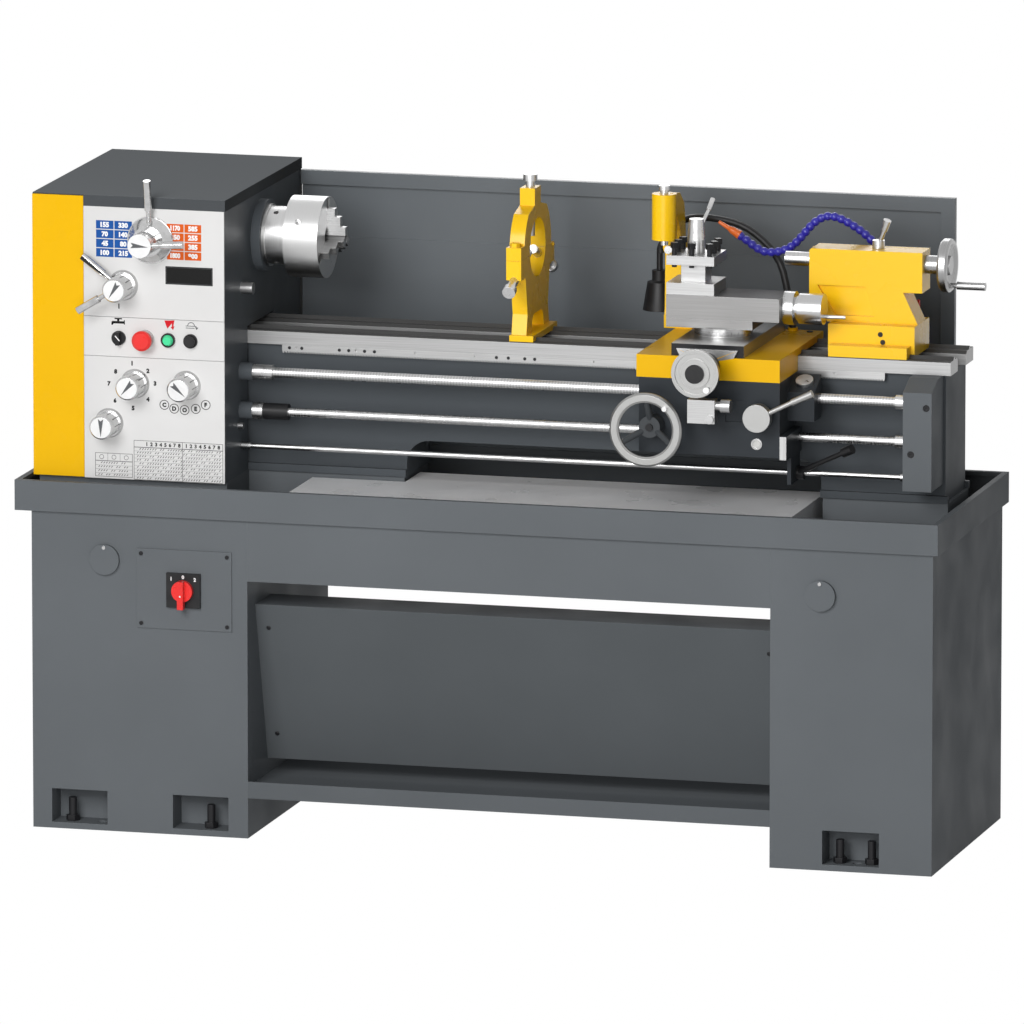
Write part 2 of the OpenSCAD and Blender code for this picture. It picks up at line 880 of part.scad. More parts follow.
// Turns a shape that lies along +Y about the spindle axis
module about_spindle(angle) {
  translate([0, 0, axis_z])
    rotate([angle, 0, 0])
      children();
}

module chuck_body() {
  color(steel)
    difference() {
      union() {
        rod_x([backplate_x, 0, axis_z], backplate, backplate_r);
        rod_x([chuck_x, 0, axis_z], chuck_length, chuck_r);
      }
      rod_x([backplate_x - 1, 0, axis_z], backplate + chuck_length + 2, jaw_bore_r);
      rod_x([backplate_x - 1, 0, axis_z], spigot_length + 1 + slide_fit, spigot_r + run_fit);
      for (a = jaw_angles)
        about_spindle(a) {
          block([chuck_face - jaw_root, 0, -jaw_width / 2 - slide_fit],
            [chuck_face + 1, jaw_slot_r, jaw_width / 2 + slide_fit]);
          block([chuck_face - jaw_tongue_depth - slide_fit, 0, -jaw_tongue / 2 - slide_fit],
            [chuck_face, jaw_slot_r, jaw_tongue / 2 + slide_fit]);
        }
      for (a = jaw_angles)
        about_spindle(a + 60)
          translate([chuck_x + chuck_length * 0.42, chuck_r - 14, 0])
            rotate([-90, 0, 0])
              cylinder(h = 16, r = key_hole_r);
      for (a = jaw_angles)
        about_spindle(a + 30)
          translate([backplate_x + 16, backplate_r - 12, 0])
            rotate([-90, 0, 0])
              cylinder(h = 14, r = 5);
    }
}

// A hard jaw with three steps, pointed at the work
module jaw(angle) {
  steps = [[58, 16], [42, 27], [22, 37]];
  color(steel)
    about_spindle(angle) {
      for (s = steps)
        block([chuck_face - jaw_root + slide_fit, jaw_inner, -jaw_width / 2],
          [chuck_face + s[1], s[0], jaw_width / 2]);
      block([chuck_face - jaw_tongue_depth, 24, -jaw_tongue / 2],
        [chuck_face, steps[0][0], jaw_tongue / 2]);
    }
}

module chuck_jaw_1() {
  jaw(jaw_angles[0]);
}

module chuck_jaw_2() {
  jaw(jaw_angles[1]);
}

module chuck_jaw_3() {
  jaw(jaw_angles[2]);
}

// ---- drive

belt_x = head_x0 + 30;
belt_width = 14;
belt_thickness = 8;
pulley_flange = 4;
pulley_rim = 7;
motor_pulley_r = 36;
input_pulley_r = 72;
belt_fit = 0.3;

// A grooved pulley around a shaft along X
module pulley(y, z, r) {
  rod_x([belt_x - pulley_flange, y, z], pulley_flange, r + pulley_rim);
  rod_x([belt_x, y, z], belt_width, r);
  rod_x([belt_x + belt_width, y, z], pulley_flange, r + pulley_rim);
}

module motor() {
  color(paint)
    difference() {
      union() {
        rod_x([motor_x0, motor_y, motor_z], motor_x1 - motor_x0, motor_r);
        block([motor_x0 + 40, motor_y - 50, seat_top + case_wall],
          [motor_x1 - 40, motor_y + 50, motor_z]);
      }
      rod_x([motor_x0 - 1, motor_y, motor_z], 61, motor_shaft_r + run_fit);
    }
}

module motor_pulley() {
  color("darkgray") {
    rod_x([belt_x - pulley_flange - 4, motor_y, motor_z], motor_x0 + 55 - belt_x, motor_shaft_r);
    pulley(motor_y, motor_z, motor_pulley_r);
  }
}

module input_shaft() {
  color("darkgray") {
    rod_x([belt_x - pulley_flange - 4, input_y, input_z],
      bearing_x + 14 - belt_x + pulley_flange + 4, input_r);
    pulley(input_y, input_z, input_pulley_r);
    translate([gear_x, input_y, input_z])
      rotate([90, 0, 90])
        linear_extrude(gear_width)
          rotate(180 / pinion_teeth - input_angle * (1 + bull_teeth / pinion_teeth) + 180)
            polygon(gear_outline(pinion_teeth, gear_module));
  }
}

// Outline around two pulleys, at a distance from their grooves
module belt_outline(offset) {
  run = [input_y - motor_y, input_z - motor_z];
  small = motor_pulley_r + offset;
  large = input_pulley_r + offset;
  lean = acos((small - large) / norm(run));
  heading = atan2(run[1], run[0]);
  translate([motor_y, motor_z]) {
    circle(small);
    translate(run)
      circle(large);
    polygon([
      small * [cos(heading + lean), sin(heading + lean)],
      run + large * [cos(heading + lean), sin(heading + lean)],
      run + large * [cos(heading - lean), sin(heading - lean)],
      small * [cos(heading - lean), sin(heading - lean)]
    ]);
  }
}

module drive_belt() {
  color(black)
    along_x(belt_x + belt_fit, belt_width - 2 * belt_fit)
      difference() {
        belt_outline(belt_thickness);
        belt_outline(belt_fit);
      }
}

// ---- headstock controls

knob_r = 23.5;
knob_front = head_front - 58;
knob_flange_r = 29;
shaft_depth = case_wall + panel_sheet + 6;
panel_fit = 0.3;

// A round selector knob with a broad flange
module knob(x, z, r, flange_r, front) {
  base = head_front - panel_fit;
  rod_out([x, head_front + shaft_depth, z], shaft_depth + panel_fit, shaft_hole_r);
  cone_front([x, base, z], 7, flange_r, flange_r - 3);
  rod_out([x, base - 7, z], base - 10 - front, r);
  cone_front([x, front + 3, z], 3, r, r - 3);
}

module pitch_knob() {
  color(steel)
    knob(pitch_x, pitch_z, knob_r, knob_flange_r, knob_front);
}

module mode_knob() {
  color(steel)
    knob(mode_x, mode_z, knob_r, knob_flange_r, knob_front);
}

module range_knob() {
  color(steel)
    knob(range_x, range_z, knob_r, knob_flange_r, knob_front);
}

disc_front = head_front - 22;
hub_y = head_front - 80;
lever_shank_r = 5;
lever_grip_r = 7.5;

module range_lever() {
  base = head_front - panel_fit;
  color(steel)
    difference() {
      union() {
        rod_out([selector_x, head_front + shaft_depth, selector_z],
          shaft_depth + panel_fit, tumbler_r);
        rod_out([selector_x, base, selector_z], 5, 46);
        cone_front([selector_x, base - 5, selector_z], base - 5 - disc_front, 44, 30);
        hand_lever([selector_x + 1, base - 12, selector_z + 30],
          [selector_x + 2, head_front - 33, selector_z + 121],
          lever_shank_r, lever_grip_r, 0.35);
      }
      rod_out([selector_x, head_front + shaft_depth + 1, selector_z],
        shaft_depth + 40, tumbler_core_r + run_fit);
    }
}

module speed_lever() {
  back = disc_front - panel_fit;
  color(steel) {
    rod_out([selector_x, head_front + shaft_depth, selector_z],
      head_front + shaft_depth - back, tumbler_core_r);
    rod_out([selector_x, back, selector_z], back - hub_y, knob_r);
    hand_lever([selector_x + knob_r - 2, hub_y + 14, selector_z],
      [selector_x + 84, hub_y + 14, selector_z + 4],
      lever_shank_r, lever_grip_r, 0.3);
  }
}

module feed_levers() {
  front = head_front - 68;
  color(steel) {
    knob(feed_x, feed_z, knob_r, 30, front);
    hand_lever([feed_x - 14, head_front - 22, feed_z + 11], [feed_x - 76, head_front - 22, feed_z + 58],
      lever_shank_r, lever_grip_r, 0.3);
    hand_lever([feed_x - 16, front + 16, feed_z - 8], [feed_x - 77, front + 16, feed_z - 45],
      lever_shank_r, lever_grip_r, 0.3);
  }
}

module coolant_switch() {
  base = head_front - panel_fit;
  color(black) {
    rod_out([coolant_x, head_front + shaft_depth, row_z], shaft_depth + panel_fit,
      shaft_hole_r);
    rod_out([coolant_x, base, row_z], 5, 14);
    block([coolant_x - 4, base - 14, row_z - 13], [coolant_x + 4, base - 5, row_z + 13]);
  }
}

button_travel = 5;

module stop_button() {
  cap_back = head_front - bezel_height - button_travel - 1.5;
  color("red") {
    rod_out([stop_x, head_front + shaft_depth, row_z],
      head_front + shaft_depth - cap_back, shaft_hole_r);
    cone_front([stop_x, cap_back, row_z], 9, 14, 19.5);
    rod_out([stop_x, cap_back - 9, row_z], 8, 19.5);
    cone_front([stop_x, cap_back - 17, row_z], 4, 19.5, 15);
  }
}

module jog_button() {
  cap_back = head_front - bezel_height - 3.5;
  color(black) {
    rod_out([jog_x, head_front + shaft_depth, row_z],
      head_front + shaft_depth - cap_back, shaft_hole_r);
    rod_out([jog_x, cap_back, row_z], 6, 11);
  }
}

// ---- rods

rod_start = head_x1 - case_wall - 1;
rod_end = bracket_x + bracket_bore - 1;
rod_boss = 26;
collar_start = head_x1 + rod_boss + slide_fit;
end_collar = 22;

module leadscrew() {
  color(steel) {
    rod_x([rod_start, rod_y, leadscrew_z], rod_end - rod_start, leadscrew_r);
    rod_x([collar_start, rod_y, leadscrew_z], 40, leadscrew_r + 4.5);
    rod_x([bracket_x - slide_fit - end_collar, rod_y, leadscrew_z], end_collar,
      leadscrew_r + 4.5);
  }
}

module feed_rod() {
  color(steel) {
    rod_x([rod_start, rod_y, feed_rod_z], rod_end - rod_start, feed_rod_r);
    rod_x([collar_start, rod_y, feed_rod_z], 21, feed_rod_r + 8.5);
    rod_x([bracket_x - slide_fit - end_collar, rod_y, feed_rod_z], end_collar, feed_rod_r + 4.5);
  }
  color(black)
    rod_x([collar_start + 21, rod_y, feed_rod_z], 50, feed_rod_r + 7);
}

module control_rod() {
  color(steel) {
    rod_x([rod_start, rod_y, shift_rod_z], rod_end - rod_start, shift_rod_r);
    rod_x([head_x1 + slide_fit, rod_y, shift_rod_z], 20, shift_rod_r + 3);
    rod_x([bracket_x - slide_fit - 12, rod_y, shift_rod_z], 12, shift_rod_r + 3);
  }
}

// ---- carriage

saddle_x1 = carriage_x + saddle_length;
slide_z = way_top + slide_fit;
saddle_z = way_top + saddle_thickness;
saddle_back = bed_half + 15;
block_back = -bed_half - 2;
apron_top = saddle_z - saddle_front_height;
apron_bottom = apron_top - apron_height;
apron_y = -saddle_front;
apron_back = rod_y + 25;
apron_left = carriage_x + 5;
apron_wall = 9;
slide_x = carriage_x + 140;
dovetail_half = 61;
dovetail_undercut = 8;
dovetail_height = 15;
screw_z = saddle_z - 17;
screw_r = 8;
cross_nose = 7;
lamp_foot_x = carriage_x + 226;
lamp_foot_y = 98;

// Groove under a slide that clears the vee of one way
module vee_groove(fit) {
  half = vee_height * 1.2 + fit;
  for (side = [-1, 1])
    polygon([
      [side * way_centre - half - 1, way_top - 1],
      [side * way_centre - half, way_top + slide_fit],
      [side * way_centre - 1 - fit, way_top + vee_height + fit],
      [side * way_centre + 1 + fit, way_top + vee_height + fit],
      [side * way_centre + half, way_top + slide_fit],
      [side * way_centre + half + 1, way_top - 1]
    ]);
}

// Dovetail outline in X and Z, grown by a clearance
module dovetail(fit) {
  polygon([
    [slide_x - dovetail_half + dovetail_undercut - fit, saddle_z - 1],
    [slide_x - dovetail_half - fit, saddle_z + dovetail_height + fit],
    [slide_x + dovetail_half + fit, saddle_z + dovetail_height + fit],
    [slide_x + dovetail_half - dovetail_undercut + fit, saddle_z - 1]
  ]);
}

module saddle() {
  color(yellow)
    difference() {
      union() {
        block([carriage_x, apron_y, apron_top], [saddle_x1, block_back, saddle_z]);
        block([carriage_x, block_back - 1, slide_z],
          [saddle_x1, saddle_back, saddle_z]);
        post([lamp_foot_x, lamp_foot_y, saddle_z], 6, 10);
      }
      along_x(carriage_x - 1, saddle_length + 2)
        vee_groove(free_fit);
      rod_out([slide_x, apron_y + 60, screw_z], 61, screw_r + run_fit);
      post([saddle_x1 - 22, bed_half - 6, saddle_z - 6], 7, 6.2);
      post([lamp_foot_x, lamp_foot_y, saddle_z - 8], 15, 7 + thread_fit);
    }
  color(steel)
    along_y(apron_y, saddle_front + saddle_back - 3)
      dovetail(0);
  color(black)
    post([saddle_x1 - 22, bed_half - 6, saddle_z - 6], 8, 6);
}

wheel_x = carriage_x + 36;
wheel_z = apron_top - 91;
wheel_shaft = 8;
half_nut_x = carriage_x + 249;
half_nut_z = apron_top - 64;
neck_x = carriage_x + 147;
neck_z = apron_top - 50;
apron_shaft = 30;
dial_x = saddle_x1 + 27;
dial_y = rod_y - 7;
dial_tilt = 27;
dial_bracket = 53;
dial_front = rod_y - 35;
dial_back = rod_y + 20;
dial_bottom = apron_top - 84;
dial_top = apron_top - 14;
shift_plate = 8;
lever_hub_x = saddle_x1 + 3 + shift_plate + slide_fit;

module apron() {
  color(paint)
    difference() {
      union() {
        block([apron_left, apron_y, apron_bottom], [saddle_x1, apron_back, apron_top]);
        block([saddle_x1, apron_y, apron_bottom - 4],
          [saddle_x1 + 14, dial_back, apron_bottom + 43]);
        block([saddle_x1 + 3, rod_y - 50, shift_rod_z - 16],
          [saddle_x1 + 3 + shift_plate, rod_y + 20, apron_bottom]);
        along_x(saddle_x1, dial_bracket)
          polygon([
            [dial_front, dial_bottom],
            [dial_back, dial_bottom],
            [dial_back, dial_top + (dial_back - dial_y) * tan(dial_tilt)],
            [dial_front, dial_top + (dial_front - dial_y) * tan(dial_tilt)]
          ]);
      }
      block([apron_left + apron_wall, apron_y + apron_wall, apron_bottom + apron_wall],
        [saddle_x1 - apron_wall, apron_back + 1, apron_top - apron_wall]);
      rod_x([apron_left - 1, rod_y, leadscrew_z], saddle_length + dial_bracket + 2,
        leadscrew_r + free_fit);
      rod_x([apron_left - 1, rod_y, feed_rod_z], saddle_length + 20, feed_rod_r + free_fit);
      rod_x([saddle_x1, rod_y, shift_rod_z], 20, shift_rod_r + free_fit);
      for (p = [[wheel_x, wheel_z], [half_nut_x, half_nut_z], [neck_x, neck_z]])
        rod_out([p[0], apron_y + apron_wall + 1, p[1]], apron_wall + 2,
          wheel_shaft + run_fit);
      block([carriage_x + 177, apron_y - 1, apron_top - 80],
        [carriage_x + 221, apron_y + 3, apron_top - 37]);
      translate([dial_x, dial_y, dial_top])
        rotate([dial_tilt, 0, 0])
          translate([0, 0, -12])
            cylinder(h = 13, r = 4 + run_fit);
    }
  color(steel) {
    difference() {
      rod_out([saddle_x1 - 45, apron_y, apron_bottom + 26], 3, 11);
      rod_out([saddle_x1 - 45, apron_y - 1.5, apron_bottom + 26], 3, 7.5);
    }
    block([saddle_x1 + 0.5, apron_y - 1.5, apron_bottom - 3],
      [saddle_x1 + 13.5, apron_y, apron_bottom + 42]);
  }
}

// Dished handwheel on an axis towards the operator
module carriage_handwheel() {
  rim_width = 19;
  rim_back = apron_y - 59;
  rim_front = apron_y - 72;
  hub_front = apron_y - 38;
  color(steel) {
    translate([wheel_x, rim_back, wheel_z])
      rotate([90, 0, 0])
        rotate_extrude()
          polygon([
            [wheel_r - rim_width, 4], [wheel_r - rim_width + 3, 1],
            [wheel_r - 3, 0], [wheel_r, 4], [wheel_r, 9],
            [wheel_r - 4, 13], [wheel_r - rim_width + 4, 13],
            [wheel_r - rim_width, 10]
          ]);
    rod_out([wheel_x, apron_y + apron_shaft, wheel_z],
      apron_shaft + panel_fit, wheel_shaft);
    rod_out([wheel_x, apron_y - panel_fit, wheel_z], apron_y - panel_fit - hub_front, 21);
    translate([wheel_x, 0, wheel_z])
      rotate([0, -48, 0])
        rod_out([59, rim_front + 2, 0], 9, 5);
  }
  color("dimgray")
    for (a = [90, 210, 330])
      translate([wheel_x, 0, wheel_z])
        rotate([0, -a, 0])
          bar([14, hub_front + 8, 0], [wheel_r - 9, rim_back - 6, 0], 7, 5.5);
  color(black)
    rod_out([wheel_x, hub_front, wheel_z], 6, 7);
}

module half_nut_lever() {
  color(steel) {
    rod_out([half_nut_x, apron_y + apron_shaft, half_nut_z],
      apron_shaft + panel_fit, wheel_shaft);
    rod_out([half_nut_x, apron_y - panel_fit, half_nut_z], 24, 19);
    rod_out([half_nut_x, apron_y - 22, half_nut_z], 20, 27);
    bar([half_nut_x + 20, apron_y - 32, half_nut_z + 9],
      [half_nut_x + 70, apron_y - 32, half_nut_z + 34], 5, 5);
  }
  color(black)
    bar([half_nut_x + 68, apron_y - 32, half_nut_z + 33],
      [half_nut_x + 109, apron_y - 32, half_nut_z + 52], 6.5, 8);
}

module feed_selector() {
  x0 = neck_x - 27;
  x1 = neck_x + 27;
  color(paint) {
    rod_out([neck_x, apron_y + apron_shaft, neck_z],
      apron_shaft + panel_fit, wheel_shaft);
    rod_out([neck_x, apron_y - panel_fit, neck_z], 50, 10);
    block([x0, apron_y - 72, neck_z - 23], [x1, apron_y - 47, neck_z + 23]);
  }
  color(steel) {
    rod_x([x1, apron_y - 59, neck_z + 11], 10, 9);
    rod_x([x1 + 10, apron_y - 59, neck_z + 11], 19, 13);
    rod_out([neck_x + 18, apron_y - 72, neck_z - 14], 8, 8);
  }
}

module start_lever() {
  color(black) {
    difference() {
      union() {
        rod_x([lever_hub_x, rod_y, shift_rod_z], 14, 13);
        bar([lever_hub_x + 7, rod_y - 8, shift_rod_z + 3],
          [lever_hub_x + 60, rod_y - 30, shift_rod_z + 30], 5.5, 5);
        bar([lever_hub_x + 60, rod_y - 30, shift_rod_z + 30],
          [lever_hub_x + 102, rod_y - 46, shift_rod_z + 51], 5, 5);
        bar([lever_hub_x + 102, rod_y - 46, shift_rod_z + 51],
          [lever_hub_x + 122, rod_y - 52, shift_rod_z + 61], 9.5, 9.5);
      }
      rod_x([lever_hub_x - 1, rod_y, shift_rod_z], 16, shift_rod_r + run_fit);
    }
  }
}

module thread_dial() {
  color(steel)
    translate([dial_x, dial_y, dial_top])
      rotate([dial_tilt, 0, 0]) {
        translate([0, 0, -10])
          cylinder(h = 11, r = 4);
        translate([0, 0, panel_fit])
          cylinder(h = 8, r = 17);
      }
}

cross_x0 = slide_x - cross_width / 2;
cross_x1 = slide_x + cross_width / 2;
cross_front = apron_y + 6;
cross_top = saddle_z + cross_height;
slide_y = -100;
pivot_r = 14;

module cross_slide() {
  color(steel)
    difference() {
      block([cross_x0, cross_front, saddle_z + slide_fit],
        [cross_x1, cross_front + cross_length, cross_top]);
      along_y(cross_front - 1, cross_length + 2)
        dovetail(slide_fit);
      for (side = [-1, 1])
        rod_out([slide_x + side * 50, cross_front + 4, saddle_z + 8], 5, 4);
    }
  color(steel)
    post([slide_x - 2, slide_y, cross_top - 1], 11, pivot_r);
}

// Graduated wheel on the cross-slide screw
module cross_handwheel() {
  wheel_back = apron_y - 80;
  wheel_front = apron_y - 92;
  color(steel) {
    rod_out([slide_x, apron_y + 58, screw_z], 58 + panel_fit, screw_r);
    difference() {
      rod_out([slide_x, wheel_back, screw_z], 12, 47);
      difference() {
        rod_out([slide_x, wheel_front + 3, screw_z], 4, 40);
        rod_out([slide_x, wheel_front + 4, screw_z], 6, 29);
      }
    }
    rod_out([slide_x, wheel_back + 26, screw_z], 26, 33);
  }
  color(black) {
    rod_out([slide_x, apron_y - panel_fit, screw_z], 54 - panel_fit, 26);
    rod_out([slide_x, wheel_front, screw_z], 5, 18.5);
    rod_out([slide_x + 24, wheel_front, screw_z - 30], 7, 6);
  }
}

swivel_bottom = cross_top + slide_fit;
swivel_top = swivel_bottom + 17;
compound_top = swivel_top + compound_plate;
top_slide_x0 = carriage_x + 36;
top_slide_x1 = top_slide_x0 + top_slide_length;
top_slide_half = 50;
top_slide_top = compound_top + top_slide_height;
compound_x1 = slide_x + 68;
top_key_half = 24;
top_key_height = 8;

// Key outline in Y and Z between the compound base and the top slide
module top_key(fit) {
  polygon([
    [slide_y - top_key_half + 4 - fit, compound_top - 1],
    [slide_y - top_key_half - fit, compound_top + top_key_height + fit],
    [slide_y + top_key_half + fit, compound_top + top_key_height + fit],
    [slide_y + top_key_half - 4 + fit, compound_top - 1]
  ]);
}

module compound_base() {
  color(steel) {
    difference() {
      union() {
        post([slide_x - 2, slide_y, swivel_bottom], 17, swivel_r);
        block([top_slide_x0, slide_y - top_slide_half, swivel_top],
          [compound_x1, slide_y + top_slide_half, compound_top]);
      }
      post([slide_x - 2, slide_y, swivel_bottom - 1], 12, pivot_r + run_fit);
    }
    along_x(top_slide_x0, compound_x1 - top_slide_x0)
      top_key(0);
  }
}

post_x = carriage_x + 83.5;
post_y = slide_y - 1;
post_bottom = top_slide_top + slide_fit;
post_top = post_bottom + tool_post_height;
stud_r = 8;
handle_z = compound_top + 22;
handle_shaft_r = 7;

module top_slide() {
  color(steel) {
    difference() {
      block([top_slide_x0, slide_y - top_slide_half, compound_top + slide_fit],
        [top_slide_x1, slide_y + top_slide_half, top_slide_top]);
      along_x(top_slide_x0 - 1, top_slide_length + 2)
        top_key(slide_fit);
      rod_x([top_slide_x1 - 40, slide_y, handle_z], 41, handle_shaft_r + run_fit);
    }
    post([post_x, post_y, top_slide_top - 1], tool_post_height + 36, stud_r);
  }
}

module top_slide_handle() {
  dial = top_slide_x1 + panel_fit;
  color(steel) {
    rod_x([dial - 36, slide_y, handle_z], 37, handle_shaft_r);
    rod_x([dial, slide_y, handle_z], 21, 33);
    rod_x([dial + 21, slide_y, handle_z], 8, 24);
    rod_x([dial + 29, slide_y, handle_z], 48, 30);
    rod_x([dial + 77, slide_y + 10, handle_z - 16], 40, 4);
  }
}

screw_heads = [[-35, -34], [0, -36], [35, -34], [-35, 34], [0, 36], [35, 34], [-36, 0], [36, 0]];

module tool_post() {
  half = tool_post_side / 2;
  core = 24;
  slot_bottom = post_bottom + 23;
  slot_top = slot_bottom + tool_slot;
  color(steel)
    difference() {
      translate([post_x, post_y, 0]) {
        block([-half, -half, post_bottom], [half, half, slot_bottom]);
        block([-core, -core, slot_bottom], [core, core, slot_top]);
        block([-half, -half, slot_top], [half, half, post_top]);
      }
      post([post_x, post_y, post_bottom - 1], tool_post_height + 2, stud_r + run_fit);
      for (p = screw_heads)
        post([post_x + p[0], post_y + p[1], slot_top - 1], 30, 5 + thread_fit);
    }
  color(black)
    for (p = screw_heads)
      union() {
        post([post_x + p[0], post_y + p[1], slot_top - 6], post_top - slot_top + 20, 5);
        translate([post_x + p[0], post_y + p[1], post_top + 13])
          cylinder(h = 11, r = 8, $fn = 4);
      }
}

module tool_post_lever() {
  base = post_top + slide_fit;
  color(steel)
    difference() {
      union() {
        post([post_x, post_y, base], 26, 17);
        translate([post_x, post_y, base + 26])
          cylinder(h = 40, r1 = 17, r2 = 14);
        bar([post_x + 6, post_y + 5, base + 48], [post_x + 15, post_y + 36, base + 78], 4, 3.4);
        bar([post_x + 15, post_y + 36, base + 78], [post_x + 19, post_y + 54, base + 97], 4.6, 5);
      }
      post([post_x, post_y, base - 1], 38, stud_r + run_fit);
    }
}

// ---- rests on the carriage

follow_x = carriage_x - 23;
follow_width = 32;
follow_mid = follow_x + follow_width / 2;
follow_y0 = 70;
follow_y1 = 105;
arm_z0 = axis_z + 70;
arm_z1 = axis_z + 117;

module follow_rest() {
  color(yellow)
    difference() {
      union() {
        along_x(follow_x, follow_width)
          polygon([
            [follow_y0 - 10, saddle_z], [follow_y1, saddle_z],
            [follow_y1, axis_z + 30], [follow_y1 - 12, arm_z0 + 14],
            [follow_y0 - 10, arm_z1 - 8], [0, arm_z1],
            [0, arm_z0], [follow_y0 - 34, arm_z0],
            [follow_y0 - 8, axis_z + 34], [follow_y0, axis_z - 20],
            [follow_y0 - 4, saddle_z + 40]
          ]);
        block([follow_x, follow_y0 - 10, saddle_z],
          [carriage_x + 33, follow_y1, saddle_z + 26]);
        post([follow_mid, 0, axis_z + 26], 90, boss_r);
        rod_out([follow_mid, follow_y1 + 6, axis_z], 44, 20);
      }
      post([follow_mid, 0, axis_z + 20], 110, 8 + run_fit);
      rod_out([follow_mid, follow_y1 + 8, axis_z], 60, 8 + run_fit);
      for (y = [follow_y0 + 4, follow_y1 - 12])
        post([carriage_x + 20, y, saddle_z + 18], 9, 6.4);
    }
  color(steel) {
    post([follow_mid, 0, axis_z + 15], 112, 8);
    post([follow_mid, 0, axis_z + 123], 9, 11);
    rod_out([follow_mid, follow_y1 + 10, axis_z], 85, 8);
    rod_out([follow_mid, follow_y1 + 18, axis_z], 8, 15);
  }
  color(black)
    for (y = [follow_y0 + 4, follow_y1 - 12])
      post([carriage_x + 20, y, saddle_z + 18], 7, 6);
}

bell_x = carriage_x - 55;
bell_y = 150;
bell_top = way_top + 113;

module work_lamp() {
  path = curve([
    [lamp_foot_x, lamp_foot_y, saddle_z + 4], [lamp_foot_x - 4, lamp_foot_y, saddle_z + 30],
    [carriage_x + 196, lamp_foot_y + 14, saddle_z + 130],
    [carriage_x + 129, lamp_foot_y + 30, saddle_z + 190],
    [carriage_x + 48, lamp_foot_y + 42, saddle_z + 207],
    [carriage_x - 12, bell_y - 2, saddle_z + 196],
    [carriage_x - 50, bell_y, saddle_z + 150], [carriage_x - 53, bell_y, saddle_z + 132]
  ], 5);
  bell = bell_top - way_top;
  color(black) {
    post([lamp_foot_x, lamp_foot_y, saddle_z - 7], 22, 7);
    swept(path, [for (p = path) 7], 12);
    translate([bell_x, bell_y, 0])
      rotate_extrude()
        polygon([
          [0, bell_top + 42], [6, bell_top + 42], [6, bell_top], [15, bell_top - 1],
          [15, bell_top - 21], [24, bell_top - 24], [33, bell_top - bell * 0.7],
          [31, bell_top - bell * 0.7], [22, bell_top - 27], [0, bell_top - 27]
        ]);
  }
  color(white)
    post([bell_x, bell_y, bell_top - 48], 23, 14);
}

nozzle_x = carriage_x + 84;
nozzle_y = 72;
pipe_x = 745;
pipe_y = 180;
pipe_r = 9;

// Segmented coolant hose on a standpipe with a small valve
module coolant_hose() {
  path = curve([
    [nozzle_x + 38, nozzle_y, axis_z + 31], [nozzle_x + 54, nozzle_y, axis_z + 20],
    [nozzle_x + 94, nozzle_y, axis_z - 2], [nozzle_x + 144, nozzle_y, axis_z + 10],
    [nozzle_x + 194, nozzle_y, axis_z + 62], [nozzle_x + 230, nozzle_y, axis_z + 73],
    [nozzle_x + 274, nozzle_y + 3, axis_z + 53], [nozzle_x + 310, nozzle_y + 8, axis_z + 22],
    [pipe_x - 10, nozzle_y + 23, axis_z - 25], [pipe_x, nozzle_y + 58, axis_z - 95],
    [pipe_x, pipe_y - 18, axis_z - 120]
  ], 8);
  color([0.16, 0.42, 0.83])
    swept(path, [for (i = [0 : len(path) - 1]) i % 2 == 0 ? 8.4 : 6.4], 12);
  color("darkorange") {
    bar([nozzle_x + 40, nozzle_y, axis_z + 30], [nozzle_x + 18, nozzle_y, axis_z + 42], 8.6, 6);
    bar([nozzle_x + 19, nozzle_y, axis_z + 41.5], [nozzle_x, nozzle_y, axis_z + 53], 5, 3);
  }
  color("darkgray") {
    post([pipe_x, pipe_y, floor_z], axis_z - 110 - floor_z, pipe_r);
    post([pipe_x, pipe_y, floor_z], 6, 22);
    block([pipe_x - 13, pipe_y - 20, axis_z - 134], [pipe_x + 13, pipe_y + 13, axis_z - 106]);
    rod_x([pipe_x + 13, pipe_y, axis_z - 120], 12, 5);
    block([pipe_x + 21, pipe_y - 4, axis_z - 138], [pipe_x + 27, pipe_y + 4, axis_z - 102]);
  }
}

// ---- tailstock

tail_right = tail_x + tailstock_length;
tail_base_x0 = tail_x + 45;
tail_base_x1 = tail_x + 217;
sole_top = way_top + tail_base_height;
sole_half = 60;
barrel_bottom = axis_z - 60;
barrel_top = axis_z + 27;
quill_x = tail_x - quill_out;
quill_length = 206;
tail_shaft_r = 9;
tail_plate = 28;
lock_x = tail_x + 130;

// Side outline of the tailstock, shrunk by a margin for its side pockets
module tailstock_outline() {
  polygon([
    [tail_x, barrel_bottom], [tail_x + 37, sole_top - 1],
    [tail_x + 217, sole_top - 1], [tail_x + 187, axis_z - 52],
    [tail_right, axis_z - 52], [tail_right, barrel_top], [tail_x + 4, barrel_top],
    [tail_x, barrel_top - 4]
  ]);
}

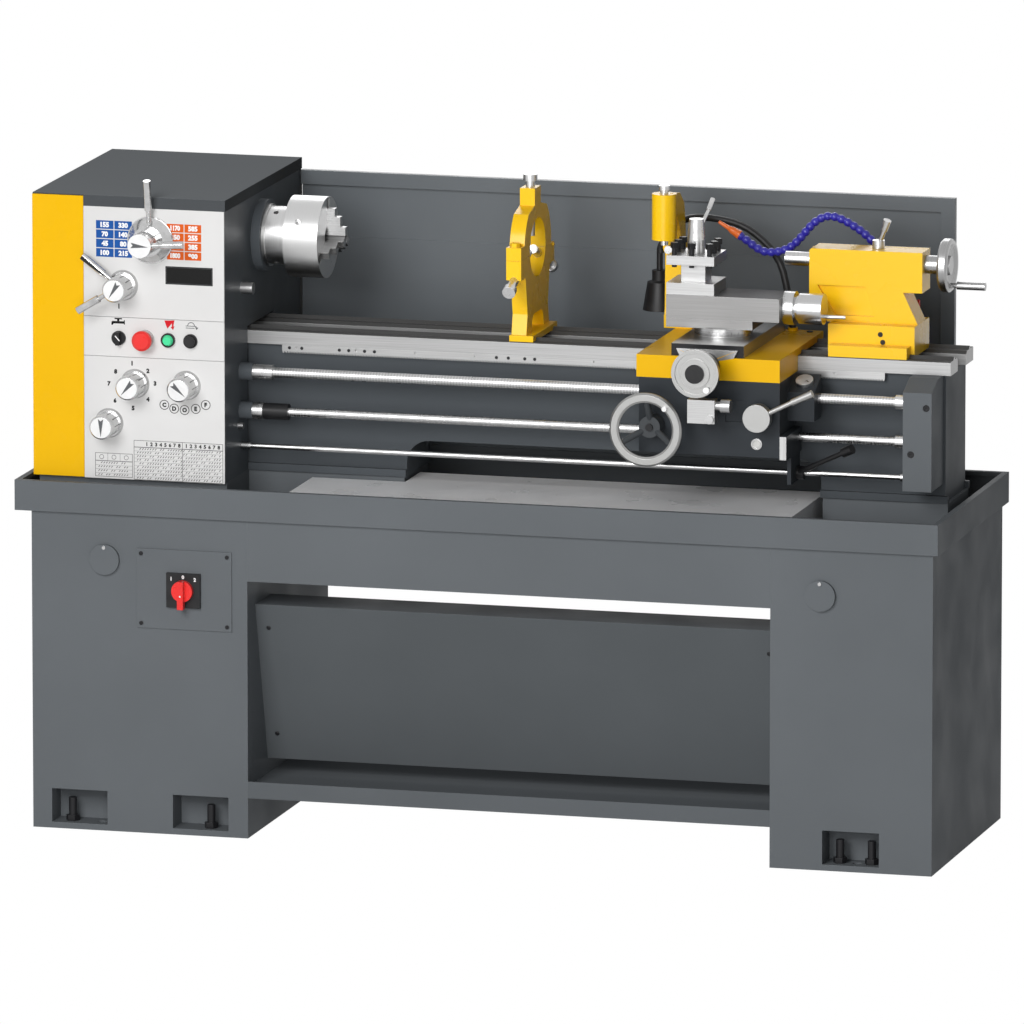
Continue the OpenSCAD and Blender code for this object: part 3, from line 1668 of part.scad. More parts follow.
module tailstock_body() {
  pocket = 8;
  color(yellow)
    difference() {
      union() {
        block([tail_base_x0, -sole_half, slide_z],
          [tail_base_x1, sole_half, sole_top]);
        block([tail_base_x0 + 8, -bed_half + 2, slide_z],
          [tail_base_x1 - 8, bed_half - 2, slide_z + 22]);
        along_y(-barrel_half, 2 * barrel_half)
          tailstock_outline();
        rod_x([tail_x, 0, axis_z], tailstock_length, barrel_half - 6);
      }
      along_x(tail_base_x0 - 1, tail_base_x1)
        vee_groove(free_fit);
      for (y = [-barrel_half - 1, barrel_half - pocket])
        along_y(y, pocket + 1)
          polygon([
            [tail_x + 16, axis_z - 44], [tail_x + 52, sole_top + 12],
            [tail_x + 130, sole_top + 12], [tail_x + 112, axis_z - 44]
          ]);
      rod_x([tail_x - 1, 0, axis_z], tailstock_length - tail_plate + 1, quill_r + run_fit);
      rod_x([tail_right - tail_plate - 1, 0, axis_z], tail_plate + 2, tail_shaft_r + run_fit);
      post([lock_x, 0, barrel_top - 9], 20, 6 + run_fit);
      rod_out([tail_x + 149, -sole_half + 5, sole_top - 17], 6, 5);
      rod_out([tail_x + 154, -sole_half + 5, sole_top - 32], 6, 5);
    }
  color(black)
    for (p = [[149, 17], [154, 32]])
      rod_out([tail_x + p[0], -sole_half + 5, sole_top - p[1]], 6, 4.8);
}

module quill() {
  color(steel)
    difference() {
      rod_x([quill_x, 0, axis_z], quill_length, quill_r);
      rod_x([quill_x - 1, 0, axis_z], 51, quill_socket_r);
    }
}

module tailstock_handwheel() {
  back = tail_right + panel_fit;
  color(steel) {
    rod_x([tail_right - tail_plate - 4, 0, axis_z], tail_plate + 40, tail_shaft_r);
    rod_x([back, 0, axis_z], 34, 18);
    translate([tail_right + 30, 0, axis_z])
      rotate([0, 90, 0])
        rotate_extrude()
          polygon([
            [0, 0], [20, 0], [tail_wheel_r - 12, 6], [tail_wheel_r - 10, 2],
            [tail_wheel_r - 3, 2], [tail_wheel_r, 6], [tail_wheel_r, 18],
            [tail_wheel_r - 3, 22], [tail_wheel_r - 9, 22], [tail_wheel_r - 14, 17],
            [20, 12], [18, 20], [0, 20]
          ]);
    rod_x([tail_right + 44, 8, axis_z - 40], 18, 4.5);
  }
  color(black)
    rod_x([tail_right + 60, 8, axis_z - 40], 56, 8);
}

module quill_lock() {
  color(steel) {
    post([lock_x, 0, barrel_top - 8], 12, 6);
    post([lock_x, 0, barrel_top + panel_fit], 16, 12);
    bar([lock_x + 2, -1, barrel_top + 9], [lock_x + 15, -9, barrel_top + 42], 4.5, 4.5);
  }
  color(black)
    bar([lock_x + 13, -8, barrel_top + 37], [lock_x + 20.5, -12.5, barrel_top + 58], 6.5, 8);
}

// ---- steady rest

steady_x0 = steady_x - steady_width / 2;
steady_r = ring_r + ring_wall;
split_z = axis_z - 9;
steady_foot_z = way_top + 12;
steady_block_y = 124;
pivot_y = 113;
pivot_z = split_z - 4;
pivot_knuckle = 7;
steady_gap = 0.4;
steady_fit_r = 0.3;
finger_r = 9;
finger_end = 160;

// Ring, side blocks and legs of the steady rest in Y and Z
module steady_outline() {
  difference() {
    union() {
      translate([0, axis_z])
        circle(steady_r);
      plate([-steady_block_y, axis_z - 47], [steady_block_y, axis_z + 5]);
      polygon([
        [-85, steady_foot_z - 1], [85, steady_foot_z - 1], [76, steady_foot_z + 40],
        [steady_r - 2, axis_z - 20], [2 - steady_r, axis_z - 20],
        [-76, steady_foot_z + 40]
      ]);
    }
    translate([0, axis_z])
      circle(ring_r);
    hull() {
      plate([-45, steady_foot_z - 2], [45, steady_foot_z]);
      translate([-22, steady_foot_z + 14])
        circle(20);
      translate([22, steady_foot_z + 14])
        circle(20);
    }
  }
}

// Turns a shape along -Y to a lower finger's direction
module lower_finger(side) {
  translate([steady_x, 0, axis_z])
    mirror([0, side > 0 ? 1 : 0, 0])
      rotate([finger_dip, 0, 0])
        children();
}

module steady_base() {
  color(yellow)
    difference() {
      union() {
        intersection() {
          along_x(steady_x0, steady_width)
            steady_outline();
          block([steady_x0, -200, way_top], [steady_x0 + steady_width, 200, split_z]);
        }
        block([steady_x - 18, -90, slide_z], [steady_x + 30, 90, steady_foot_z]);
        for (side = [-1, 1])
          lower_finger(side)
            rod_out([0, -steady_r + 20, 0], 38, 15);
      }
      along_x(steady_x - 30, 80)
        vee_groove(free_fit);
      for (side = [-1, 1])
        lower_finger(side)
          rod_out([0, 0, 0], 200, finger_r + run_fit);
      translate([0, pivot_y, pivot_z])
        block([steady_x0 + 9, -pivot_knuckle - 1.2, -pivot_knuckle - 1],
          [steady_x0 + steady_width - 9, 40, 60]);
      rod_x([steady_x0 - 1, pivot_y, pivot_z], steady_width + 2, 3 + run_fit);
      post([steady_x, -pivot_y, split_z - 24], 40, 5 + thread_fit);
    }
  color(steel) {
    rod_x([steady_x0 - 3, pivot_y, pivot_z], steady_width + 6, 3);
    for (side = [-1, 1])
      lower_finger(side) {
        rod_out([0, -22, 0], finger_end - 22, finger_r);
        rod_out([0, -finger_end, 0], 14, 13);
      }
  }
}

module steady_cap() {
  boss_top = axis_z + 118;
  bolt_y = -pivot_y;
  color(yellow)
    difference() {
      union() {
        intersection() {
          along_x(steady_x0, steady_width)
            difference() {
              union() {
                intersection() {
                  translate([0, axis_z])
                    circle(steady_r + 2);
                  translate([0, axis_z])
                    polygon([[-130, -50], [-130, 60], [-24, 84], [24, 84], [130, 60], [130, -50]]);
                }
                plate([-steady_block_y, split_z], [steady_r, axis_z + 17]);
              }
              translate([0, axis_z])
                circle(ring_r);
            }
          block([steady_x0, -200, split_z + steady_gap],
            [steady_x0 + steady_width, 200, axis_z + 200]);
        }
        block([steady_x0, -22, axis_z + 72], [steady_x0 + steady_width, 22, boss_top]);
        rod_x([steady_x0 + 9 + steady_fit_r, pivot_y, pivot_z],
          steady_width - 18 - 2 * steady_fit_r, pivot_knuckle);
        block([steady_x0 + 9 + steady_fit_r, steady_r - 12, split_z + steady_gap],
          [steady_x0 + steady_width - 9 - steady_fit_r, pivot_y + 4,
            axis_z + 12]);
      }
      post([steady_x, 0, axis_z + 10], 140, finger_r + run_fit);
      post([steady_x, bolt_y, split_z - 1], 40, 5 + thread_fit);
      rod_x([steady_x0 - 1, pivot_y, pivot_z], steady_width + 2, 3 + run_fit);
    }
  color(steel) {
    post([steady_x, 0, axis_z + 22], 110, finger_r);
    post([steady_x, 0, boss_top + 12], 13, 14);
    post([steady_x, bolt_y, split_z + 1], 29, 5);
    translate([steady_x, bolt_y, axis_z + 17])
      cylinder(h = 8, r = 9.5, $fn = 6);
  }
}

// ---- nodes

left_cabinet();
right_cabinet();
stand_panels();
chip_pan();
chip_tray();
splash_guard();
switch_plate();
main_switch();
levelling_screws();
bed();
rack();
end_bracket();
headstock_case();
headstock_lid();
control_panels();
end_cover();
spindle();
chuck_body();
chuck_jaw_1();
chuck_jaw_2();
chuck_jaw_3();
motor();
motor_pulley();
drive_belt();
input_shaft();
range_lever();
speed_lever();
feed_levers();
pitch_knob();
mode_knob();
range_knob();
coolant_switch();
stop_button();
jog_button();
leadscrew();
feed_rod();
control_rod();
saddle();
apron();
carriage_handwheel();
half_nut_lever();
feed_selector();
start_lever();
thread_dial();
cross_slide();
cross_handwheel();
compound_base();
top_slide();
top_slide_handle();
tool_post();
tool_post_lever();
follow_rest();
work_lamp();
coolant_hose();
tailstock_body();
quill();
tailstock_handwheel();
quill_lock();
steady_base();
steady_cap();
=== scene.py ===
"""Engine lathe on a two-cabinet stand: finishes, printed panels, hoses and small dressing."""
import logging
import math
from dataclasses import dataclass, field
from enum import Enum
from typing import Callable, Sequence

import bmesh
import bpy
from mathutils import Matrix, Vector


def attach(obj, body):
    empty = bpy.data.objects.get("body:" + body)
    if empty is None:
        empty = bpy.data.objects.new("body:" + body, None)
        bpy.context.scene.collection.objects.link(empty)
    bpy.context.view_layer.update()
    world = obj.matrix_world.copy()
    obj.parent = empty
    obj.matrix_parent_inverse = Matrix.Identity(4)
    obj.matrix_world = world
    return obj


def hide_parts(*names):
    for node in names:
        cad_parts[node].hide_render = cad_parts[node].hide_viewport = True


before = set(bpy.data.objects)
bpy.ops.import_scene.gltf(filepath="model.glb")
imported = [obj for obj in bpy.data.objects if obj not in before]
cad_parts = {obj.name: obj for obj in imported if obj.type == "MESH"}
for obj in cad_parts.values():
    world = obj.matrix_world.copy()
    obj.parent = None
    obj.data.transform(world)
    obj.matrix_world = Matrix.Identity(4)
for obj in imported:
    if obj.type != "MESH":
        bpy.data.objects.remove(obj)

LOG = logging.getLogger("lathe")
MM = 0.001
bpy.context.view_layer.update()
Colour = tuple[float, float, float]
Area = Callable[[Vector, Vector], bool]
Flat = tuple[float, float]
Spot = tuple[float, float, float]
Edges = tuple[float, float, float, float]
Shape = bmesh.types.BMesh


def mm(*values: float) -> Vector:
    """Turn millimetres into a vector in metres."""
    return Vector([v * MM for v in values])


# ---------------------------------------------------------------- finishes


class NodeSheet:
    """Node tree of one material, with short calls for the nodes used here."""

    def __init__(self, name: str) -> None:
        """Start a material that ends in one Principled shader.

        Args:
            name: Name of the material.
        """
        self.material = bpy.data.materials.new(name)
        self.material.use_nodes = True
        self.tree = self.material.node_tree
        self.tree.nodes.clear()
        self.shader = self.add("ShaderNodeBsdfPrincipled")
        output = self.add("ShaderNodeOutputMaterial")
        self.tree.links.new(self.shader.outputs[0], output.inputs["Surface"])
        self.place = self.add("ShaderNodeTexCoord").outputs["Object"]

    def add(self, kind: str, **values: object) -> bpy.types.Node:
        """Add a node.

        Args:
            kind: Blender's name of the node type.
            **values: Input values or links by input name, with spaces as underscores.

        Returns:
            The new node.
        """
        node = self.tree.nodes.new(kind)
        for key, value in values.items():
            self.feed(node.inputs[key.replace("_", " ")], value)
        return node

    def feed(self, socket: bpy.types.NodeSocket, value: object) -> None:
        """Link a socket to another, or set its value."""
        if isinstance(value, bpy.types.NodeSocket):
            self.tree.links.new(value, socket)
        else:
            socket.default_value = value

    def stretched(self, scale: Sequence[float]) -> bpy.types.NodeSocket:
        """Give the object coordinates, scaled along each axis."""
        node = self.add("ShaderNodeMapping", Vector=self.place)
        node.inputs["Scale"].default_value = scale
        return node.outputs[0]

    def noise(self, scale: float, detail: float = 3.0, where: object = None) -> bpy.types.NodeSocket:
        """Add a noise texture.

        Args:
            scale: Waves per metre.
            detail: Number of octaves.
            where: Coordinates, or none for the object's own.

        Returns:
            The noise's factor.
        """
        node = self.add("ShaderNodeTexNoise", Vector=where or self.place)
        node.inputs["Scale"].default_value = scale
        node.inputs["Detail"].default_value = detail
        return node.outputs["Fac"]

    def span(self, value: object, low: float, high: float, start: float = 0.0,
             end: float = 1.0) -> bpy.types.NodeSocket:
        """Map a range of values onto another, with clamping.

        Args:
            value: Socket to map.
            low: Result at the start of the range.
            high: Result at the end of the range.
            start: Start of the range.
            end: End of the range.

        Returns:
            The mapped value.
        """
        node = self.add("ShaderNodeMapRange", Value=value)
        for key, number in (("From Min", start), ("From Max", end), ("To Min", low), ("To Max", high)):
            node.inputs[key].default_value = number
        return node.outputs[0]

    def maths(self, what: str, first: object, second: object = 0.5) -> bpy.types.NodeSocket:
        """Combine two numbers with a named operation."""
        node = self.add("ShaderNodeMath")
        node.operation = what
        self.feed(node.inputs[0], first)
        self.feed(node.inputs[1], second)
        return node.outputs[0]

    def blend(self, share: object, first: object, second: object) -> bpy.types.NodeSocket:
        """Mix two colours.

        Args:
            share: Share of the second colour.
            first: First colour or socket.
            second: Second colour or socket.

        Returns:
            The mixed colour.
        """
        node = self.add("ShaderNodeMix")
        node.data_type = "RGBA"
        for index, value in ((0, share), (6, first), (7, second)):
            if isinstance(value, tuple):
                value = (*value, 1.0)
            self.feed(node.inputs[index], value)
        return node.outputs[2]

    def edges(self, radius: float) -> bpy.types.NodeSocket:
        """Give a mask that is 1 along sharp edges and 0 on flat faces."""
        bevel = self.add("ShaderNodeBevel")
        bevel.samples = 4
        bevel.inputs["Radius"].default_value = radius
        normal = self.add("ShaderNodeNewGeometry").outputs["Normal"]
        dot = self.add("ShaderNodeVectorMath")
        dot.operation = "DOT_PRODUCT"
        self.feed(dot.inputs[0], bevel.outputs[0])
        self.feed(dot.inputs[1], normal)
        return self.span(dot.outputs["Value"], 1.0, 0.0, 0.75, 0.995)

    def relief(self, height: object, depth: float, radius: float = 0.0) -> None:
        """Give the surface relief and rounded-looking edges.

        Args:
            height: Height socket.
            depth: Depth of the relief in metres.
            radius: Radius of the rounded edges.
        """
        bump = self.add("ShaderNodeBump", Height=height)
        bump.inputs["Strength"].default_value = 1.0
        bump.inputs["Distance"].default_value = depth
        if radius:
            bevel = self.add("ShaderNodeBevel")
            bevel.samples = 4
            bevel.inputs["Radius"].default_value = radius
            self.tree.links.new(bevel.outputs[0], bump.inputs["Normal"])
        self.feed(self.shader.inputs["Normal"], bump.outputs[0])

    def set(self, **values: object) -> None:
        """Set or link the shader's sockets by name, with spaces as underscores."""
        for key, value in values.items():
            if isinstance(value, tuple):
                value = (*value, 1.0)
            self.feed(self.shader.inputs[key.replace("_", " ")], value)


@dataclass(frozen=True)
class Finish:
    """A finish that makes its material once."""

    name: str

    def material(self) -> bpy.types.Material:
        """Give the finish's material, made at the first call."""
        name = f"look_{self.name}"
        return bpy.data.materials.get(name) or self.make(NodeSheet(name))

    def make(self, sheet: NodeSheet) -> bpy.types.Material:
        """Fill the sheet's nodes.

        Args:
            sheet: Empty node sheet.

        Returns:
            The finished material.
        """
        return sheet.material


@dataclass(frozen=True)
class Enamel(Finish):
    """Sprayed enamel with a slight orange peel and a painted highlight along the edges."""

    colour: Colour
    # colour of the painted highlight along the edges
    highlight_colour: Colour
    gloss: float = 0.4
    peel: float = 0.00004
    edge_r: float = 0.0012
    mirror: float = 0.2
    shade: float = 0.92

    def make(self, sheet: NodeSheet) -> bpy.types.Material:
        """Fill the sheet's nodes and give the material."""
        sheet.shader.inputs["Specular IOR Level"].default_value = self.mirror
        cloud = sheet.noise(3.0, 4.0)
        shade = tuple(c * self.shade for c in self.colour)
        tone = sheet.blend(sheet.span(cloud, 0.0, 1.0, 0.35, 0.65), shade, self.colour)
        speck = sheet.noise(240.0, 2.0)
        # painted highlight: sharp edges take the lighter highlight colour, in specks, as if they caught the
        # light
        painted_edge_highlight = sheet.maths("MULTIPLY", sheet.edges(self.edge_r), sheet.span(speck, 0.25, 0.7, 0.3, 0.7))
        fine = sheet.noise(420.0, 2.0)
        smear = sheet.noise(9.0, 5.0)
        sheet.set(Base_Color=sheet.blend(painted_edge_highlight, tone, self.highlight_colour),
                  Roughness=sheet.span(smear, self.gloss - 0.06, self.gloss + 0.08, 0.3, 0.7))
        sheet.relief(fine, self.peel, self.edge_r)
        return sheet.material


class Grain(Enum):
    """Direction in which a steel face is ground."""

    ALONG_X = (6.0, 900.0, 900.0)
    ALONG_Y = (900.0, 6.0, 900.0)
    ALONG_Z = (900.0, 900.0, 6.0)


@dataclass(frozen=True)
class GroundSteel(Finish):
    """Ground steel with fine parallel scratches and a painted highlight along the edges."""

    grain: Grain
    colour: Colour = (0.42, 0.42, 0.42)
    rough: float = 0.34
    edge_r: float = 0.0007
    metal: float = 1.0

    def make(self, sheet: NodeSheet) -> bpy.types.Material:
        """Fill the sheet's nodes and give the material."""
        streak = sheet.noise(1.0, 4.0, sheet.stretched(self.grain.value))
        cloud = sheet.noise(14.0, 4.0)
        dull = tuple(c * 0.78 for c in self.colour)
        tone = sheet.blend(sheet.span(streak, 0.0, 1.0, 0.3, 0.7), dull, self.colour)
        # painted highlight: sharp edges are lightened towards a pale grey, as if they caught the light
        bright = sheet.blend(sheet.edges(self.edge_r), tone, (0.62, 0.62, 0.61))
        sheet.shader.inputs["Specular IOR Level"].default_value = 0.5 * self.metal
        sheet.set(Base_Color=bright, Metallic=self.metal,
                  Roughness=sheet.maths("ADD", sheet.span(streak, self.rough - 0.08, self.rough + 0.1),
                                        sheet.span(cloud, -0.05, 0.06)))
        sheet.relief(streak, 0.00002, self.edge_r)
        return sheet.material


@dataclass(frozen=True)
class TurnedSteel(Finish):
    """Steel turned on a lathe, with rings round an axis and a painted highlight along the edges."""

    centre: Spot
    across: Spot
    colour: Colour = (0.46, 0.46, 0.455)
    rough: float = 0.3
    edge_r: float = 0.0008

    def make(self, sheet: NodeSheet) -> bpy.types.Material:
        """Fill the sheet's nodes and give the material."""
        offset = sheet.add("ShaderNodeVectorMath")
        offset.operation = "SUBTRACT"
        sheet.feed(offset.inputs[0], sheet.place)
        offset.inputs[1].default_value = self.centre
        flat = sheet.add("ShaderNodeVectorMath")
        flat.operation = "MULTIPLY"
        sheet.feed(flat.inputs[0], offset.outputs[0])
        flat.inputs[1].default_value = self.across
        radius = sheet.add("ShaderNodeVectorMath")
        radius.operation = "LENGTH"
        sheet.feed(radius.inputs[0], flat.outputs[0])
        along = sheet.add("ShaderNodeVectorMath")
        along.operation = "DOT_PRODUCT"
        sheet.feed(along.inputs[0], offset.outputs[0])
        along.inputs[1].default_value = tuple(1.0 - a for a in self.across)
        where = sheet.add("ShaderNodeCombineXYZ", X=radius.outputs["Value"], Y=along.outputs["Value"])
        ring = sheet.noise(1400.0, 3.0, where.outputs[0])
        cloud = sheet.noise(18.0, 4.0)
        dull = tuple(c * 0.8 for c in self.colour)
        tone = sheet.blend(sheet.span(ring, 0.0, 1.0, 0.3, 0.7), dull, self.colour)
        # painted highlight: sharp edges are lightened towards a pale grey, as if they caught the light
        sheet.set(Base_Color=sheet.blend(sheet.edges(self.edge_r), tone, (0.64, 0.64, 0.63)), Metallic=1.0,
                  Roughness=sheet.maths("ADD", sheet.span(ring, self.rough - 0.06, self.rough + 0.08),
                                        sheet.span(cloud, -0.05, 0.05)))
        sheet.relief(ring, 0.00003, self.edge_r)
        return sheet.material


@dataclass(frozen=True)
class Chrome(Finish):
    """Polished chrome with faint smudges."""

    rough: float = 0.1

    def make(self, sheet: NodeSheet) -> bpy.types.Material:
        """Fill the sheet's nodes and give the material."""
        smudge = sheet.noise(60.0, 5.0)
        fine = sheet.noise(900.0, 2.0)
        patch = sheet.span(smudge, 0.0, 1.0, 0.35, 0.7)
        sheet.set(Base_Color=sheet.blend(patch, (0.50, 0.50, 0.50), (0.60, 0.60, 0.60)), Metallic=1.0,
                  Roughness=sheet.span(smudge, self.rough, self.rough + 0.12, 0.35, 0.7))
        sheet.relief(fine, 0.000006, 0.0006)
        return sheet.material


@dataclass(frozen=True)
class Plastic(Finish):
    """Moulded plastic or rubber with a fine texture."""

    colour: Colour
    rough: float = 0.4
    grit: float = 0.00003
    mirror: float = 0.5

    def make(self, sheet: NodeSheet) -> bpy.types.Material:
        """Fill the sheet's nodes and give the material."""
        sheet.shader.inputs["Specular IOR Level"].default_value = self.mirror
        fine = sheet.noise(700.0, 3.0)
        cloud = sheet.noise(30.0, 4.0)
        pale = tuple(c * 0.7 + 0.02 for c in self.colour)
        sheet.set(Base_Color=sheet.blend(sheet.span(cloud, 0.0, 0.5, 0.4, 0.8), self.colour, pale),
                  Roughness=sheet.span(cloud, self.rough - 0.06, self.rough + 0.08, 0.3, 0.7))
        sheet.relief(fine, self.grit, 0.0005)
        return sheet.material


@dataclass(frozen=True)
class ThreadedSteel(Finish):
    """Bright rod with a fine screw thread along X."""

    pitch: float = 0.006

    def make(self, sheet: NodeSheet) -> bpy.types.Material:
        """Fill the sheet's nodes and give the material."""
        wave = sheet.add("ShaderNodeTexWave", Vector=sheet.place)
        wave.bands_direction = "X"
        wave.wave_profile = "SIN"
        wave.inputs["Scale"].default_value = math.pi / (10.0 * self.pitch)
        wave.inputs["Distortion"].default_value = 0.0
        ridge = wave.outputs["Fac"]
        smear = sheet.noise(40.0, 4.0)
        sheet.set(Base_Color=sheet.blend(ridge, (0.40, 0.40, 0.40), (0.54, 0.54, 0.54)), Metallic=1.0,
                  Roughness=sheet.span(smear, 0.26, 0.36, 0.3, 0.7))
        sheet.relief(ridge, 0.00005)
        return sheet.material


@dataclass(frozen=True)
class Ink(Finish):
    """Printed or stamped colour with a faint grain."""

    colour: Colour
    rough: float = 0.45

    def make(self, sheet: NodeSheet) -> bpy.types.Material:
        """Fill the sheet's nodes and give the material."""
        sheet.shader.inputs["Specular IOR Level"].default_value = 0.12
        grain = sheet.noise(600.0, 3.0)
        pale = tuple(min(1.0, c * 0.92 + 0.006) for c in self.colour)
        sheet.set(Base_Color=sheet.blend(sheet.span(grain, 0.0, 1.0, 0.4, 0.8), self.colour, pale),
                  Roughness=sheet.span(grain, self.rough - 0.04, self.rough + 0.06))
        sheet.relief(grain, 0.000008)
        return sheet.material


@dataclass(frozen=True)
class Lens(Finish):
    """Clear coloured lens over a lamp or an oil gauge."""

    colour: Colour
    glow: float = 0.0

    def make(self, sheet: NodeSheet) -> bpy.types.Material:
        """Fill the sheet's nodes and give the material."""
        grain = sheet.noise(300.0, 2.0)
        sheet.set(Base_Color=sheet.blend(sheet.span(grain, 0.0, 0.4), self.colour,
                                         tuple(c * 0.6 for c in self.colour)),
                  Roughness=sheet.span(grain, 0.06, 0.16), Emission_Strength=self.glow,
                  Emission_Color=self.colour, Coat_Weight=1.0)
        sheet.relief(grain, 0.00002)
        return sheet.material


class Palette:
    """All finishes of the lathe."""

    GREY = Enamel("grey_enamel", (0.136, 0.148, 0.159), (0.27, 0.285, 0.30), 0.5, mirror=0.04)
    GUARD = Enamel("guard_enamel", (0.138, 0.153, 0.166), (0.26, 0.28, 0.29), 0.36, mirror=0.2)
    CASE = Enamel("case_enamel", (0.083, 0.093, 0.103), (0.20, 0.22, 0.23), 0.34, mirror=0.08)
    # painted shade: a slightly darker copy of the case enamel for the bed, whose front walls lie in shadow
    # under the ways
    SHADED_BED = Enamel("bed_enamel", (0.078, 0.087, 0.096), (0.16, 0.17, 0.18), 0.42, mirror=0.03)
    APRON = Enamel("apron_enamel", (0.036, 0.041, 0.047), (0.11, 0.12, 0.13), 0.34, mirror=0.08)
    LID = Enamel("lid_enamel", (0.076, 0.082, 0.088), (0.24, 0.26, 0.27), 0.6, mirror=0.0, shade=1.0)
    # painted light: a lighter copy of the lid enamel for the lid's upward faces
    LID_TOP_LIT = Enamel("lid_top_painted_light", (0.262, 0.278, 0.292), (0.36, 0.38, 0.39), 0.6, mirror=0.0, shade=1.0)
    KNEE = Enamel("knee_guard_enamel", (0.105, 0.115, 0.123), (0.24, 0.26, 0.27), 0.5, mirror=0.04)
    # painted shade: a darker, non-reflecting copy of the grey for the low front region under the knee guard
    FOLD_SHADE = Enamel("guard_fold_painted_shade", (0.125, 0.136, 0.146), (0.18, 0.19, 0.20), 0.6, mirror=0.0)
    # painted shade: near-black colour for the pan's inner floor, standing in for the headstock's shadow
    PAN_FLOOR_SHADE = Enamel("pan_floor", (0.030, 0.033, 0.036), (0.06, 0.065, 0.07), 0.6, mirror=0.0)
    CAST = Enamel("cast_grey", (0.050, 0.055, 0.060), (0.13, 0.14, 0.15), 0.45, 0.0002)
    YELLOW = Enamel("yellow_enamel", (0.85, 0.475, 0.003), (0.95, 0.62, 0.04), 0.3,
                    mirror=0.12, shade=0.98)
    # painted light: a brighter copy of the yellow enamel for the tailstock and the rests, to make up for the
    # light they miss
    LIT_YELLOW = Enamel("lit_yellow_painted_light", (1.0, 0.60, 0.006), (1.0, 0.72, 0.06), 0.26, 0.00005,
                         mirror=0.3, shade=0.98)
    PANEL = Enamel("white_panel", (0.70, 0.695, 0.69), (0.80, 0.80, 0.80), 0.42, 0.00001, 0.0008)
    STEEL_X = GroundSteel("ground_steel_x", Grain.ALONG_X)
    STEEL_Y = GroundSteel("ground_steel_y", Grain.ALONG_Y)
    STEEL_Z = GroundSteel("ground_steel_z", Grain.ALONG_Z)
    WAY = GroundSteel("hardened_way", Grain.ALONG_X, (0.34, 0.34, 0.34), 0.42)
    # painted reflection: a dark, nearly non-metal copy of the way steel for the ways' upward faces, standing in
    # for the dark surroundings they mirror
    WAY_TOP_REFLECTION = GroundSteel("way_top", Grain.ALONG_X, (0.085, 0.085, 0.085), 0.5, 0.0004, 0.12)
    # dull steel for a ring of the follow rest; on the slides' upward faces its dark colour is painted shade
    # standing in for the dark reflection they show
    DULL_AND_DARK_TOPS = GroundSteel("dull_steel_and_dark_tops", Grain.ALONG_X, (0.070, 0.070, 0.072), 0.5, 0.0004, 0.15)
    SIDE = GroundSteel("slide_side", Grain.ALONG_X, (0.24, 0.238, 0.236), 0.36)
    RACK = GroundSteel("rack_steel", Grain.ALONG_X, (0.38, 0.38, 0.38), 0.36)
    # painted reflection: the chip tray's sheet metal gets a near-white colour standing in for the bright
    # surroundings it mirrors
    TRAY_PAINTED_REFLECTION = Enamel("tray_sheet", (0.97, 0.97, 0.98), (0.98, 0.98, 0.98), 0.3, 0.00002, 0.0008, 1.0, 1.0)
    BLACK_STEEL = Enamel("blackened_steel", (0.016, 0.016, 0.018), (0.07, 0.07, 0.075), 0.34)
    CHROME = Chrome("chrome")
    SATIN = Chrome("satin_chrome", 0.26)
    THREAD = ThreadedSteel("lead_thread")
    BLACK = Plastic("black_plastic", (0.010, 0.010, 0.011), mirror=0.25)
    WHITE = Plastic("white_plastic", (0.84, 0.84, 0.84), 0.35)
    RED = Plastic("red_plastic", (0.80, 0.018, 0.015), 0.3)
    BLUE = Plastic("blue_hose_plastic", (0.022, 0.018, 0.36), 0.3)
    ORANGE = Plastic("orange_plastic", (0.88, 0.16, 0.01), 0.32)
    RUBBER = Plastic("belt_rubber", (0.018, 0.018, 0.018), 0.7, 0.0002)
    GREEN = Lens("green_lens", (0.02, 0.62, 0.26), 0.25)
    OIL = Lens("oil_gauge", (0.60, 0.60, 0.58))
    BULB = Lens("lamp_bulb", (0.9, 0.88, 0.8), 0.1)


# ---------------------------------------------------------------- mesh work


def inside(low: Vector, high: Vector) -> Area:
    """Make a test for faces whose middle lies in a box."""
    return lambda centre, normal: all(low[i] <= centre[i] <= high[i] for i in range(3))


def within(centre: Vector, axis: int, least: float, most: float, ahead: Flat) -> Area:
    """Make a test for faces in a ring round an axis.

    Args:
        centre: Point on the axis.
        axis: Index of the axis.
        least: Inner radius.
        most: Outer radius.
        ahead: Lowest and highest coordinate along the axis.

    Returns:
        The test.
    """
    def test(spot: Vector, normal: Vector) -> bool:
        """Tell whether a face lies in the ring."""
        gap = spot - centre
        along = spot[axis]
        gap[axis] = 0.0
        return least <= gap.length <= most and ahead[0] <= along <= ahead[1]
    return test


def facing_up(area: Area) -> Area:
    """Keep only the upward faces of an area.

    Args:
        area: Test for the area.

    Returns:
        The narrower test.
    """
    return lambda centre, normal: normal.z > 0.5 and area(centre, normal)


def dress(node: str, finish: Finish, *areas: tuple[Finish, Area]) -> None:
    """Give a CAD node its finish, and other finishes where an area test holds.

    Args:
        node: Name of the CAD node.
        finish: Finish of the whole node.
        *areas: Pairs of a finish and a test; the last test that holds wins.
    """
    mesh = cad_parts[node].data
    mesh.materials.clear()
    mesh.materials.append(finish.material())
    for other, _ in areas:
        mesh.materials.append(other.material())
    for face in mesh.polygons:
        index = 0
        for number, (_, test) in enumerate(areas, 1):
            if test(face.center, face.normal):
                index = number
        face.material_index = index


